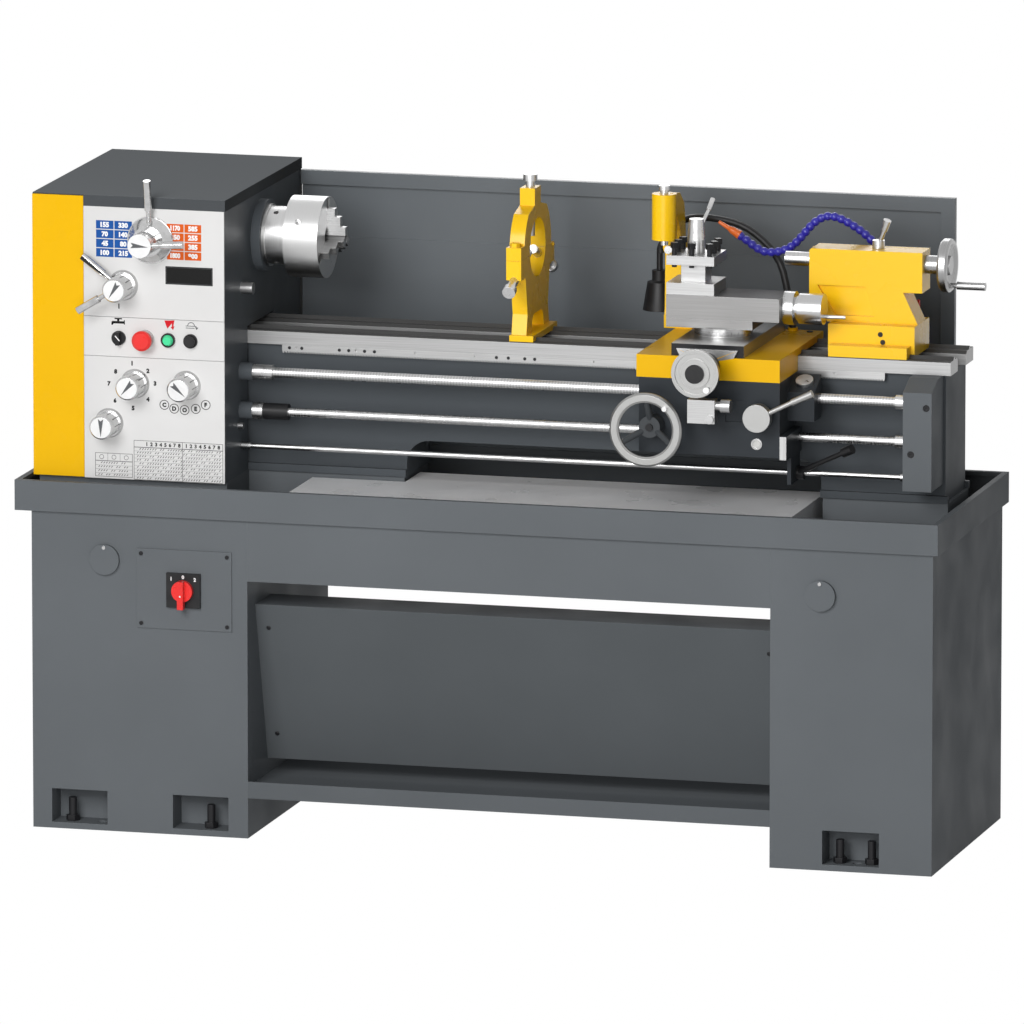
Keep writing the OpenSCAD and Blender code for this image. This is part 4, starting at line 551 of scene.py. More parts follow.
def solid(name: str, shape: Shape, finish: Finish, body: str, *nodes: str,
          smooth: float = 35.0) -> bpy.types.Object:
    """Turn a shape into a piece that rides on a body.

    Args:
        name: Name of the piece.
        shape: Shape in the row frame; it is freed here.
        finish: Finish of the piece.
        body: Body that carries the piece.
        *nodes: CAD nodes that the piece stands for.
        smooth: Angle in degrees under which edges are shaded smooth.

    Returns:
        The piece.
    """
    bmesh.ops.recalc_face_normals(shape, faces=shape.faces)
    mesh = bpy.data.meshes.new(name)
    shape.to_mesh(mesh)
    shape.free()
    mesh.materials.append(finish.material())
    piece = bpy.data.objects.new(name, mesh)
    bpy.context.scene.collection.objects.link(piece)
    mesh.polygons.foreach_set("use_smooth", [True] * len(mesh.polygons))
    mesh.set_sharp_from_angle(angle=math.radians(smooth))
    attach(piece, body)
    if nodes:
        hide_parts(*nodes)
    LOG.info("piece %s on %s, %d faces", name, body, len(mesh.polygons))
    return piece


def skin(shape: Shape, rings: Sequence[Sequence[bmesh.types.BMVert]]) -> None:
    """Close rings of vertices into a solid.

    Args:
        shape: Shape that holds the vertices.
        rings: Rings with the same number of vertices.
    """
    sides = len(rings[0])
    for first, second in zip(rings, rings[1:]):
        for k in range(sides):
            shape.faces.new((first[k], first[(k + 1) % sides], second[(k + 1) % sides], second[k]))
    shape.faces.new(rings[0])
    shape.faces.new(list(reversed(rings[-1])))


def turned(shape: Shape, start: Vector, heading: Vector, profile: Sequence[Flat],
           sides: int = 48) -> None:
    """Add a turned form round an axis.

    Args:
        shape: Shape that gets the form.
        start: Start of the axis.
        heading: Direction of the axis.
        profile: Distance along the axis and radius of each ring, in metres.
        sides: Number of sides.
    """
    heading = heading.normalized()
    side = heading.orthogonal().normalized()
    rise = heading.cross(side)
    rings = []
    for along, radius in profile:
        ring = []
        for k in range(sides):
            angle = math.tau * k / sides
            ring.append(shape.verts.new(start + heading * along
                                        + radius * (math.cos(angle) * side + math.sin(angle) * rise)))
        rings.append(ring)
    skin(shape, rings)


def brick(shape: Shape, low: Vector, high: Vector, soft: float = 0.0) -> None:
    """Add a box, with rounded edges if asked.

    Args:
        shape: Shape that gets the box.
        low: Lowest corner.
        high: Highest corner.
        soft: Radius of the edges.
    """
    made = bmesh.ops.create_cube(shape, size=1.0)["verts"]
    size, mid = high - low, (low + high) / 2
    for vert in made:
        vert.co = Vector([vert.co[i] * size[i] + mid[i] for i in range(3)])
    if soft:
        edges = list({highlight_colour for vert in made for highlight_colour in vert.link_edges})
        bmesh.ops.bevel(shape, geom=edges, offset=soft, segments=3, affect="EDGES", profile=0.5)


def smooth_route(points: Sequence[Vector], steps: int) -> list[Vector]:
    """Give points on a smooth curve through the given ones.

    Args:
        points: Points to pass.
        steps: Steps between two points.

    Returns:
        The points of the curve.
    """
    route = []
    for i in range(len(points) - 1):
        a, b, c, d = (points[max(i - 1, 0)], points[i], points[i + 1], points[min(i + 2, len(points) - 1)])
        for s in range(steps):
            t = s / steps
            route.append(0.5 * (2 * b + (c - a) * t + (2 * a - 5 * b + 4 * c - d) * t * t
                                + (3 * b - a - 3 * c + d) * t ** 3))
    return route + [points[-1].copy()]


def evenly(route: Sequence[Vector], pitch: float) -> list[Vector]:
    """Spread points along a route at an even pitch.

    Args:
        route: Points of the route.
        pitch: Wanted distance between two points.

    Returns:
        The new points.
    """
    lengths = [(b - a).length for a, b in zip(route, route[1:])]
    total = sum(lengths)
    count = max(2, round(total / pitch))
    points, walked, leg = [], 0.0, 0
    for i in range(count + 1):
        want = total * i / count
        while leg < len(lengths) - 1 and walked + lengths[leg] < want:
            walked += lengths[leg]
            leg += 1
        share = (want - walked) / lengths[leg]
        points.append(route[leg].lerp(route[leg + 1], min(1.0, max(0.0, share))))
    return points


def ribbed_tube(shape: Shape, route: Sequence[Vector], radii: Callable[[int], float],
                sides: int = 24) -> None:
    """Add a tube along a route, with a radius for each ring.

    Args:
        shape: Shape that gets the tube.
        route: Middle line.
        radii: Gives the radius of a ring from its number.
        sides: Number of sides.
    """
    rings = []
    up = Vector((0.05, 1.0, 0.02))
    for i, spot in enumerate(route):
        ahead = (route[min(i + 1, len(route) - 1)] - route[max(i - 1, 0)]).normalized()
        side = ahead.cross(up).normalized()
        rise = ahead.cross(side)
        rings.append([shape.verts.new(spot + radii(i) * (side * math.cos(math.tau * k / sides)
                                                        + rise * math.sin(math.tau * k / sides)))
                      for k in range(sides)])
    skin(shape, rings)


class Axis(Enum):
    """Axes of the row frame."""

    X = 0
    Y = 1
    Z = 2


def zone(low: Spot, high: Spot) -> Area:
    """Make a face test for a box given in millimetres."""
    return inside(mm(*low), mm(*high))


def disc(axis: Axis, centre: Spot, most: float, start: float, end: float,
         least: float = -1.0) -> Area:
    """Make a face test for a ring or disc given in millimetres.

    Args:
        axis: Axis of the ring.
        centre: Point on the axis.
        most: Outer radius.
        start: Lowest coordinate along the axis.
        end: Highest coordinate along the axis.
        least: Inner radius.

    Returns:
        The test.
    """
    return within(mm(*centre), axis.value, least * MM, most * MM, (start * MM, end * MM))


@dataclass(frozen=True)
class FlutedChrome(Finish):
    """Chrome grip with dark grooves round part of its length, about an axis along Y."""

    centre: Flat
    band: Flat
    least: float
    grooves: int = 10

    def make(self, sheet: NodeSheet) -> bpy.types.Material:
        """Fill the sheet's nodes and give the material."""
        split = sheet.add("ShaderNodeSeparateXYZ", Vector=sheet.place)
        across = sheet.maths("SUBTRACT", split.outputs["X"], self.centre[0] * MM)
        rise = sheet.maths("SUBTRACT", split.outputs["Z"], self.centre[1] * MM)
        angle = sheet.maths("ARCTAN2", rise, across)
        wave = sheet.maths("COSINE", sheet.maths("MULTIPLY", angle, float(self.grooves)), 0.0)
        groove = sheet.span(wave, 0.0, 1.0, 0.86, 0.94)
        radius = sheet.maths("SQRT", sheet.maths("ADD", sheet.maths("MULTIPLY", across, across),
                                                 sheet.maths("MULTIPLY", rise, rise)), 0.0)
        outside = sheet.maths("GREATER_THAN", radius, self.least * MM)
        near = sheet.maths("LESS_THAN", split.outputs["Y"], self.band[1] * MM)
        far = sheet.maths("GREATER_THAN", split.outputs["Y"], self.band[0] * MM)
        mask = sheet.maths("MULTIPLY", sheet.maths("MULTIPLY", groove, outside),
                           sheet.maths("MULTIPLY", near, far))
        smudge = sheet.noise(60.0, 5.0)
        tone = sheet.blend(sheet.span(smudge, 0.0, 1.0, 0.35, 0.7), (0.46, 0.46, 0.46), (0.58, 0.58, 0.58))
        sheet.set(Base_Color=sheet.blend(mask, tone, (0.04, 0.04, 0.04)), Metallic=1.0,
                  Roughness=sheet.span(smudge, 0.14, 0.26, 0.35, 0.7))
        sheet.relief(sheet.maths("SUBTRACT", 1.0, mask), 0.0008, 0.0007)
        return sheet.material


# ---------------------------------------------------------------- printed marks


class Mark(Enum):
    """Colours of the printed marks."""

    BLACK = Ink("black_print", (0.006, 0.006, 0.006))
    WHITE = Ink("white_print", (0.88, 0.88, 0.88))
    BLUE = Ink("blue_print", (0.010, 0.085, 0.33))
    ORANGE = Ink("orange_print", (0.70, 0.11, 0.010))
    RED = Ink("red_print", (0.62, 0.012, 0.02))
    GREY = Ink("grey_print", (0.11, 0.115, 0.12))


class Printer:
    """Collects thin marks on a plane that faces the operator, one piece for each ink."""

    def __init__(self, name: str, body: str, face: float) -> None:
        """Start a printer.

        Args:
            name: First part of the pieces' names.
            body: Body that carries the marks.
            face: Y of the printed plane in millimetres.
        """
        self.name, self.body, self.face = name, body, face
        self.shapes: dict[Mark, Shape] = {}

    def shape(self, ink: Mark) -> Shape:
        """Give the shape that collects the marks of an ink."""
        return self.shapes.setdefault(ink, bmesh.new())

    def outline(self, ink: Mark, points: Sequence[Flat], lift: float = 0.12) -> None:
        """Print a filled polygon.

        Args:
            ink: Ink of the mark.
            points: Corners as X and Z in millimetres, in order.
            lift: Height of the mark over the plane.
        """
        shape = self.shape(ink)
        back = [shape.verts.new(mm(x, self.face - 0.02, z)) for x, z in points]
        front = [shape.verts.new(mm(x, self.face - lift, z)) for x, z in points]
        shape.faces.new(back)
        shape.faces.new(list(reversed(front)))
        for k in range(len(points)):
            n = (k + 1) % len(points)
            shape.faces.new((back[k], front[k], front[n], back[n]))

    def rectangle(self, ink: Mark, x0: float, z0: float, x1: float, z1: float, lift: float = 0.12) -> None:
        """Print a filled rectangle between two corners."""
        self.outline(ink, [(x0, z0), (x1, z0), (x1, z1), (x0, z1)], lift)

    def line(self, ink: Mark, start: Flat, end: Flat, width: float = 0.8,
             lift: float = 0.12) -> None:
        """Print a straight line.

        Args:
            ink: Ink of the mark.
            start: First end.
            end: Other end.
            width: Width of the line.
            lift: Height of the mark over the plane.
        """
        run = Vector((end[0] - start[0], end[1] - start[1]))
        side = Vector((-run.y, run.x)).normalized() * width / 2
        a, b = Vector(start), Vector(end)
        self.outline(ink, [tuple(a - side), tuple(b - side), tuple(b + side), tuple(a + side)], lift)

    def frame_lines(self, ink: Mark, x0: float, z0: float, x1: float, z1: float, width: float = 0.6,
                    lift: float = 0.12) -> None:
        """Print the four sides of a rectangle."""
        corners = ((x0, z0), (x1, z0), (x1, z1), (x0, z1))
        for start, end in zip(corners, corners[1:] + corners[:1]):
            self.line(ink, start, end, width, lift)

    def circle(self, ink: Mark, x: float, z: float, radius: float, width: float = 0.7, steps: int = 24,
               first: float = 0.0, last: float = 360.0) -> None:
        """Print a ring or a part of one.

        Args:
            ink: Ink of the mark.
            x: X of the middle.
            z: Z of the middle.
            radius: Radius of the line.
            width: Width of the line.
            steps: Number of straight steps.
            first: Angle of the start in degrees.
            last: Angle of the end in degrees.
        """
        spots = []
        for k in range(steps + 1):
            a = math.radians(first + (last - first) * k / steps)
            spots.append((x + radius * math.cos(a), z + radius * math.sin(a)))
        for start, end in zip(spots, spots[1:]):
            self.line(ink, start, end, width)

    def words(self, ink: Mark, text: str, x: float, z: float, height: float, bold: float = 0.03,
              lift: float = 0.2, stretch: float = 1.0) -> None:
        """Print a number or a letter, centred on a point.

        Args:
            ink: Ink of the mark.
            text: Characters to print.
            x: X of the middle.
            z: Z of the middle.
            height: Height of the digits in millimetres.
            bold: Growth of the strokes, as a share of the height.
            lift: Height of the mark over the plane.
            stretch: Width of the characters as a share of the usual width.
        """
        curve = bpy.data.curves.new("digits", "FONT")
        curve.body = text
        curve.size = 1.0
        curve.offset = bold
        curve.resolution_u = 3
        curve.extrude = 0.01
        carrier = bpy.data.objects.new("digits", curve)
        mesh = bpy.data.meshes.new_from_object(carrier)
        flat = [v.co.copy() for v in mesh.vertices]
        if flat:
            low = Vector((min(c.x for c in flat), min(c.y for c in flat)))
            high = Vector((max(c.x for c in flat), max(c.y for c in flat)))
            size = height / (high.y - low.y)
            for vert, co in zip(mesh.vertices, flat):
                depth = -lift if co.z > 0 else -0.03
                vert.co = mm(x + (co.x - (low.x + high.x) / 2) * size * stretch, self.face + depth,
                             z + (co.y - (low.y + high.y) / 2) * size)
            self.shape(ink).from_mesh(mesh)
        bpy.data.objects.remove(carrier)
        bpy.data.curves.remove(curve)
        bpy.data.meshes.remove(mesh)

    def arrow(self, ink: Mark, x: float, z: float, length: float, angle: float) -> None:
        """Print a broad arrow head with a notched tail.

        Args:
            ink: Ink of the mark.
            x: X of the middle.
            z: Z of the middle.
            length: Length of the arrow.
            angle: Direction in degrees from +X towards +Z.
        """
        turn = Matrix.Rotation(math.radians(angle), 2)
        for half in (((0.52, 0.0), (-0.48, 0.15), (-0.36, 0.0)), ((0.52, 0.0), (-0.36, 0.0), (-0.48, -0.15))):
            spots = [turn @ (Vector(p) * length) for p in half]
            self.outline(ink, [(x + s.x, z + s.y) for s in spots], 0.25)

    def finish(self) -> None:
        """Turn each ink's marks into a piece."""
        for ink, shape in self.shapes.items():
            solid(f"{self.name}_{ink.name.lower()}", shape, ink.value, self.body, smooth=20.0)


# ---------------------------------------------------------------- sub-assemblies


@dataclass
class Stand:
    """Cabinets, knee guard, pan, tray and splash guard."""

    guard_screws: tuple[Flat, ...] = (
        (-432.5, 407.0), (573.0, 407.0), (-432.5, 186.0), (573.0, 186.0))
    screw_r: float = 4.5
    switch: Flat = (-583.0, 487.0)
    box_half: float = 34.0
    covers: Flat = (-744.0, 692.0)
    floor_top: float = 660.0
    fold_top: float = 140.0
    seal: tuple[Spot, ...] = ((-510.2, 283.0, 690.0), (-507.6, 289.0, 1228.0))

    @staticmethod
    def slanted(spot: Vector, normal: Vector) -> bool:
        """Tell whether a face looks forwards and down, as the knee guard does."""
        return normal.y < -0.9 and -0.4 < normal.z < -0.1

    def pan_floor(self, spot: Vector, normal: Vector) -> bool:
        """Tell whether a face is part of the pan's inner floor, which gets painted shade."""
        return normal.z > 0.7 and spot.z < self.floor_top * MM

    def build(self) -> None:
        """Build the guard's screws and the seal strip and dress the sheet metal."""
        strip = bmesh.new()
        brick(strip, mm(*self.seal[0]), mm(*self.seal[1]), 0.4 * MM)
        solid("seal_strip", strip, Palette.RUBBER, "machine")
        shape = bmesh.new()
        for x, z in self.guard_screws:
            y = -232.0 + (455.0 - z) * 86.0 / 322.0
            out = Vector((0.0, -0.966, -0.258))
            turned(shape, mm(x, y, z) - out * 0.5 * MM, out,
                   [(0.0, self.screw_r * MM), (1.6 * MM, self.screw_r * MM),
                    (2.6 * MM, self.screw_r * 0.7 * MM)], 20)
        solid("guard_screws", shape, Palette.BLACK_STEEL, "machine")
        self.dress()

    def dress(self) -> None:
        """Paint the nodes of the stand."""
        # the low front region below fold_top gets painted shade
        dress("stand_panels", Palette.GREY, (Palette.KNEE, self.slanted),
              (Palette.FOLD_SHADE, zone((-900, -400, 0), (900, 0, self.fold_top))))
        # the pan's inner floor gets painted shade
        dress("chip_pan", Palette.GREY, (Palette.PAN_FLOOR_SHADE, self.pan_floor))
        dress("splash_guard", Palette.GUARD)
        for node, x in (("left_cabinet", self.covers[0]), ("right_cabinet", self.covers[1])):
            dress(node, Palette.GREY, (Palette.CHROME, disc(Axis.Y, (x, 0, 564), 3.7, -299, -294.9)))
        # the chip tray's near-white colour is a painted reflection
        dress("chip_tray", Palette.TRAY_PAINTED_REFLECTION)
        dress("levelling_screws", Palette.BLACK_STEEL)
        x, z = self.switch
        half = self.box_half + 0.5
        dress("switch_plate", Palette.GREY,
              (Palette.BLACK, zone((x - half, -299, z - half), (x + half, -290.02, z + half))),
              *[(Palette.BLACK_STEEL, disc(Axis.Y, (x + sx * 87, 0, z + sz * 69), 4.2, -292.5, -290.02))
                for sx in (-1, 1) for sz in (-1, 1)])
        dress("main_switch", Palette.RED)
        marks = Printer("switch_marks", "machine", -298.0)
        for text, dx, dz in (("1", -24.0, 23.0), ("0", 0.0, 27.0), ("2", 24.0, 23.0)):
            marks.words(Mark.WHITE, text, x + dx, z + dz, 7.5, 0.05)
        marks.finish()
        pointer = Printer("switch_pointer", "main_switch", -320.3)
        pointer.rectangle(Mark.WHITE, x - 1.6, z - 9.0, x + 1.6, z - 5.8)
        pointer.finish()


@dataclass
class Bed:
    """Bed with ground ways, rack and end bracket."""

    way_low: float = 944.9
    rack_holes: tuple[float, ...] = (-425.0, -400.0, -324.0, -305.0, -273.0, -253.0, -7.0, 17.0, 50.0, 70.0)
    bracket_x: float = 826.0
    bracket_z: float = 731.0
    bracket_screws: tuple[Flat, ...] = ((46.0, 164.0), (16.0, 72.0))

    def build(self) -> None:
        """Build the screws along the way and dress the bed."""
        shape = bmesh.new()
        for x in self.rack_holes:
            turned(shape, mm(x, -92.6, 939.5), Vector((0, -1, 0)), [(0.0, 3.2 * MM), (0.9 * MM, 3.2 * MM),
                                                                  (1.0 * MM, 2.6 * MM)], 16)
        solid("rack_screws", shape, Palette.BLACK_STEEL, "machine")
        self.dress()

    def dress(self) -> None:
        """Paint the nodes of the bed."""
        # the ways' upward faces get a painted dark reflection
        ways = zone((-900, -99, self.way_low), (950, 99, 985))
        # the bed takes the darker copy of the case enamel as painted shade
        dress("bed", Palette.SHADED_BED, (Palette.WAY, ways), (Palette.WAY_TOP_REFLECTION, facing_up(ways)))
        dress("rack", Palette.RACK)
        dress("end_bracket", Palette.GREY,
              *[(Palette.BLACK_STEEL,
                 disc(Axis.Y, (self.bracket_x + dx, 0, self.bracket_z + dz), 6.95, -178, -165))
                for dx, dz in self.bracket_screws])


@dataclass
class ControlPanel:
    """White panels of the headstock with their printed marks."""

    face: float = -255.0
    blue: Edges = (-769.5, 1130.6, -695.0, 1204.0)
    orange: Edges = (-626.0, 1131.0, -555.0, 1203.0)
    label: Edges = (-628.5, 1083.0, -533.0, 1118.5)
    pitch_marks: tuple[Flat, ...] = (
        (-696.9, 924.0), (-664.8, 910.4), (-650.5, 886.2), (-665.1, 854.2), (-695.1, 835.5), (-731.7, 848.9),
        (-743.7, 881.8), (-730.3, 906.3))
    mode_marks: tuple[Flat, ...] = (
        (-631.8, 844.9), (-611.9, 838.3), (-590.8, 836.5), (-568.3, 839.8), (-548.0, 848.5))
    charts: tuple[Edges, ...] = field(default=(
        (-693.6, 694.8, -513.8, 772.0), (-772.0, 698.0, -697.0, 744.0)))

    def build(self) -> None:
        """Print the panels and dress them."""
        marks = Printer("panel_marks", "machine", self.face)
        self.table(marks, Mark.BLUE, self.blue, (("155", "330"), ("70", "140"), ("45", "80"), ("100", "215")))
        self.table(marks, Mark.ORANGE, self.orange,
                   (("1170", "585"), ("350", "255"), ("770", "385"), ("1800", "900")))
        marks.rectangle(Mark.BLACK, *self.label)
        x0, z0, x1, z1 = self.label
        marks.frame_lines(Mark.GREY, x0 + 2.2, z0 + 2.2, x1 - 2.2, z1 - 2.2, 0.5, 0.25)
        self.symbols(marks)
        self.dials(marks)
        for chart in self.charts:
            self.chart(marks, chart)
        marks.finish()
        self.dress()

    def table(self, marks: Printer, ink: Mark, area: Edges,
              rows: Sequence[tuple[str, str]]) -> None:
        """Print a table of plain speeds.

        Args:
            marks: Printer of the panel.
            ink: Ink of the cells.
            area: Lowest and highest X and Z of the table.
            rows: Numbers of each row, from the top.
        """
        x0, z0, x1, z1 = area
        half, step, gap = (x1 - x0) / 2, (z1 - z0) / len(rows), 0.9
        for i, row in enumerate(rows):
            top = z1 - i * step
            for j, text in enumerate(row):
                left = x0 + j * half
                marks.rectangle(ink, left + gap, top - step + gap, left + half - gap, top - gap)
                marks.words(Mark.WHITE, text, left + half / 2, top - step / 2, 10.4, 0.06,
                            stretch=1.0 if len(text) < 4 else 0.84)

    def symbols(self, marks: Printer) -> None:
        """Print the symbols over the switches.

        Args:
            marks: Printer of the panel.
        """
        marks.rectangle(Mark.BLACK, -724.2, 1030.5, -721.8, 1040.5)
        marks.rectangle(Mark.BLACK, -737.0, 1001.0, -711.0, 1005.8)
        marks.rectangle(Mark.BLACK, -726.8, 1005.5, -722.2, 1010.0)
        marks.rectangle(Mark.BLACK, -732.0, 1009.5, -717.0, 1012.2)
        marks.outline(Mark.BLACK, [(-738.5, 998.0), (-735.5, 998.0), (-733.0, 1002.2), (-738.0, 1005.0)])
        marks.rectangle(Mark.BLACK, -713.0, 999.5, -711.0, 1008.0)
        marks.outline(Mark.RED, [(-631.0, 1011.2), (-610.5, 1012.4), (-613.0, 1000.0), (-610.5, 1001.2),
                                 (-613.5, 993.0), (-618.5, 998.7), (-615.8, 999.3), (-616.0, 1006.2),
                                 (-624.8, 995.5), (-627.9, 1002.4)])
        marks.circle(Mark.GREY, -577.0, 1002.5, 7.0, 1.4, 16, 0.0, 180.0)
        marks.line(Mark.GREY, (-588.0, 1002.5), (-566.0, 1002.5), 1.3)
        marks.line(Mark.GREY, (-588.0, 998.5), (-570.0, 998.5), 1.3)
        marks.outline(Mark.GREY, [(-569.0, 1001.5), (-562.5, 1000.0), (-566.0, 995.0)])

    def dials(self, marks: Printer) -> None:
        """Print the numbers and letters round the selector knobs.

        Args:
            marks: Printer of the panel.
        """
        for i, (x, z) in enumerate(self.pitch_marks):
            marks.words(Mark.BLACK, str(i + 1), x, z, 9.2, 0.065)
        for letter, (x, z) in zip("CDOEF", self.mode_marks):
            marks.circle(Mark.BLACK, x, z, 9.0, 1.4)
            marks.words(Mark.BLACK, letter, x, z, 9.0, 0.06)

    def chart(self, marks: Printer, area: Edges) -> None:
        """Print a chart of rows of short dashes.

        Args:
            marks: Printer of the panel.
            area: Lowest and highest X and Z of the chart.
        """
        x0, z0, x1, z1 = area
        wide = x1 - x0 > 120
        marks.frame_lines(Mark.BLACK, x0, z0, x1, z1, 0.8)
        head = 13.0 if wide else 15.0
        marks.line(Mark.BLACK, (x0, z1 - head), (x1, z1 - head), 0.8)
        if not wide:
            for k in (1, 2):
                x = x0 + (x1 - x0) * k / 3
                marks.line(Mark.GREY, (x, z1), (x, z1 - head), 0.6)
            for k in range(3):
                marks.circle(Mark.BLACK, x0 + (x1 - x0) * (k + 0.5) / 3, z1 - head / 2, 4.2, 0.8, 16)
        else:
            for block, start in ((0, x0 + 26.0), (1, x0 + 106.0)):
                for k in range(8):
                    marks.words(Mark.BLACK, str(k + 1), start + 9.4 * k, z1 - head / 2, 7.8, 0.045)
            marks.line(Mark.BLACK, (x0 + 98.0, z1), (x0 + 98.0, z0), 0.8)
        rows = 9 if wide else 4
        for i in range(rows):
            z = z1 - head - (z1 - z0 - head) * (i + 0.5) / rows
            marks.line(Mark.GREY, (x0, z + 2.9), (x1, z + 2.9), 0.4)
            step = 5.2
            for k in range(int((x1 - x0 - 8) / step)):
                if (k * 7 + i * 3) % 11 > 1:
                    marks.line(Mark.BLACK, (x0 + 6 + k * step, z - 1.6), (x0 + 8.8 + k * step, z + 1.6), 1.15)

    def dress(self) -> None:
        """Paint the panels, bezels and pilot lamp."""
        ring = Plastic("pale_bezel", (0.60, 0.60, 0.60), 0.4)
        dress("control_panels", Palette.PANEL,
              (ring, disc(Axis.Y, (-670, 0, 973), 18.2, -262, -255.02)),
              (Palette.BLACK, disc(Axis.Y, (-578, 0, 973), 14.2, -262, -255.02)),
              (Palette.BLACK, disc(Axis.Y, (-623, 0, 973), 14.2, -261.5, -255.02)),
              (Palette.GREEN, disc(Axis.Y, (-623, 0, 973), 11.2, -275, -261.01)),
              (Palette.GREEN, disc(Axis.Y, (-623, 0, 973), 10.6, -275, -260.5)))


@dataclass(frozen=True)
class Knob:
    """Turned control with a white face and an arrow."""

    node: str
    centre: Flat
    front: float
    face_r: float
    band: Flat
    angle: float
    least: float = 20.0

    def build(self) -> None:
        """Paint the knob and print its arrow."""
        chrome = FlutedChrome(f"{self.node}_chrome", self.centre, self.band, self.least)
        x, z = self.centre
        dress(self.node, chrome,
              (Palette.WHITE, disc(Axis.Y, (x, 0, z), self.face_r, self.front - 0.3, self.front + 0.3)))
        marks = Printer(f"{self.node}_arrow", self.node, self.front)
        marks.arrow(Mark.GREY, x, z, self.face_r * 1.56, self.angle)
        marks.finish()


@dataclass
class Headstock:
    """Headstock case, end cover, knobs, levers, buttons and the drive behind them."""

    knobs: tuple[Knob, ...] = (
        Knob("pitch_knob", (-691.0, 884.0), -313.0, 23.0, (-296.0, -262.5), 230.0),
        Knob("mode_knob", (-587.0, 885.0), -313.0, 23.0, (-296.0, -262.5), -42.0),
        Knob("range_knob", (-744.0, 804.0), -313.0, 23.0, (-296.0, -262.5), -90.0),
        Knob("speed_lever", (-658.0, 1169.0), -335.0, 23.0, (-312.0, -280.0), -4.0),
        Knob("feed_levers", (-714.0, 1077.0), -323.0, 23.0, (-305.0, -268.0), 238.0),
    )

    def build(self) -> None:
        """Build the marks of the controls and dress the headstock."""
        for knob in self.knobs:
            knob.build()
        # the lid's upward faces get the lighter copy of its enamel: painted light on the top
        dress("headstock_lid", Palette.LID,
              (Palette.LID_TOP_LIT, facing_up(zone((-900, -400, 1000), (0, 400, 1400)))))
        dress("motor", Palette.CASE)
        dress("headstock_case", Palette.CASE,
              (Palette.STEEL_X, disc(Axis.X, (0, -134, 1061), 12.3, -509.8, -480)),
              (Palette.STEEL_X, disc(Axis.X, (0, -158, 793), 7.3, -509.8, -495)))
        dress("end_cover", Palette.YELLOW)
        dress("range_lever", Palette.CHROME)
        dress("coolant_switch", Palette.BLACK)
        dress("stop_button", Palette.RED)
        dress("jog_button", Palette.BLACK)
        dress("motor_pulley", Palette.SATIN)
        dress("input_shaft", Palette.SATIN)
        dress("drive_belt", Palette.RUBBER)
        line = Printer("coolant_pointer", "coolant_switch", -269.3)
        line.line(Mark.WHITE, (-727.0, 979.0), (-718.0, 969.0), 2.0)
        line.finish()


@dataclass
class Spindle:
    """Spindle, jaw chuck and its jaws."""

    axis_z: float = 1145.0

    def dress(self) -> None:
        """Paint the spindle and the chuck."""
        centre = (0.0, 0.0, self.axis_z * MM)
        turned_x = TurnedSteel("turned_chuck", centre, (0.0, 1.0, 1.0), (0.62, 0.62, 0.62), 0.3)
        dress("spindle", TurnedSteel("turned_spindle", centre, (0.0, 1.0, 1.0)))
        dress("chuck_body", turned_x)
        for k in (1, 2, 3):
            dress(f"chuck_jaw_{k}", GroundSteel("jaw_steel", Grain.ALONG_X, (0.44, 0.44, 0.44), 0.28))


@dataclass
class FeedRods:
    """Leadscrew, feed rod and control rod."""

    def dress(self) -> None:
        """Paint the three rods."""
        satin = TurnedSteel("drawn_rod", (0.0, -0.140, 0.821), (0.0, 1.0, 1.0), (0.54, 0.54, 0.54), 0.26)
        dress("leadscrew", Palette.THREAD,
              (Palette.SATIN, zone((-520, -160, 880), (-440, -120, 916))),
              (Palette.SATIN, zone((800, -160, 880), (900, -120, 916))))
        dress("feed_rod", satin, (Palette.BLACK, disc(Axis.X, (0, -140, 821), 17, -462.9, -412.5, 10.0)))
        dress("control_rod", satin)


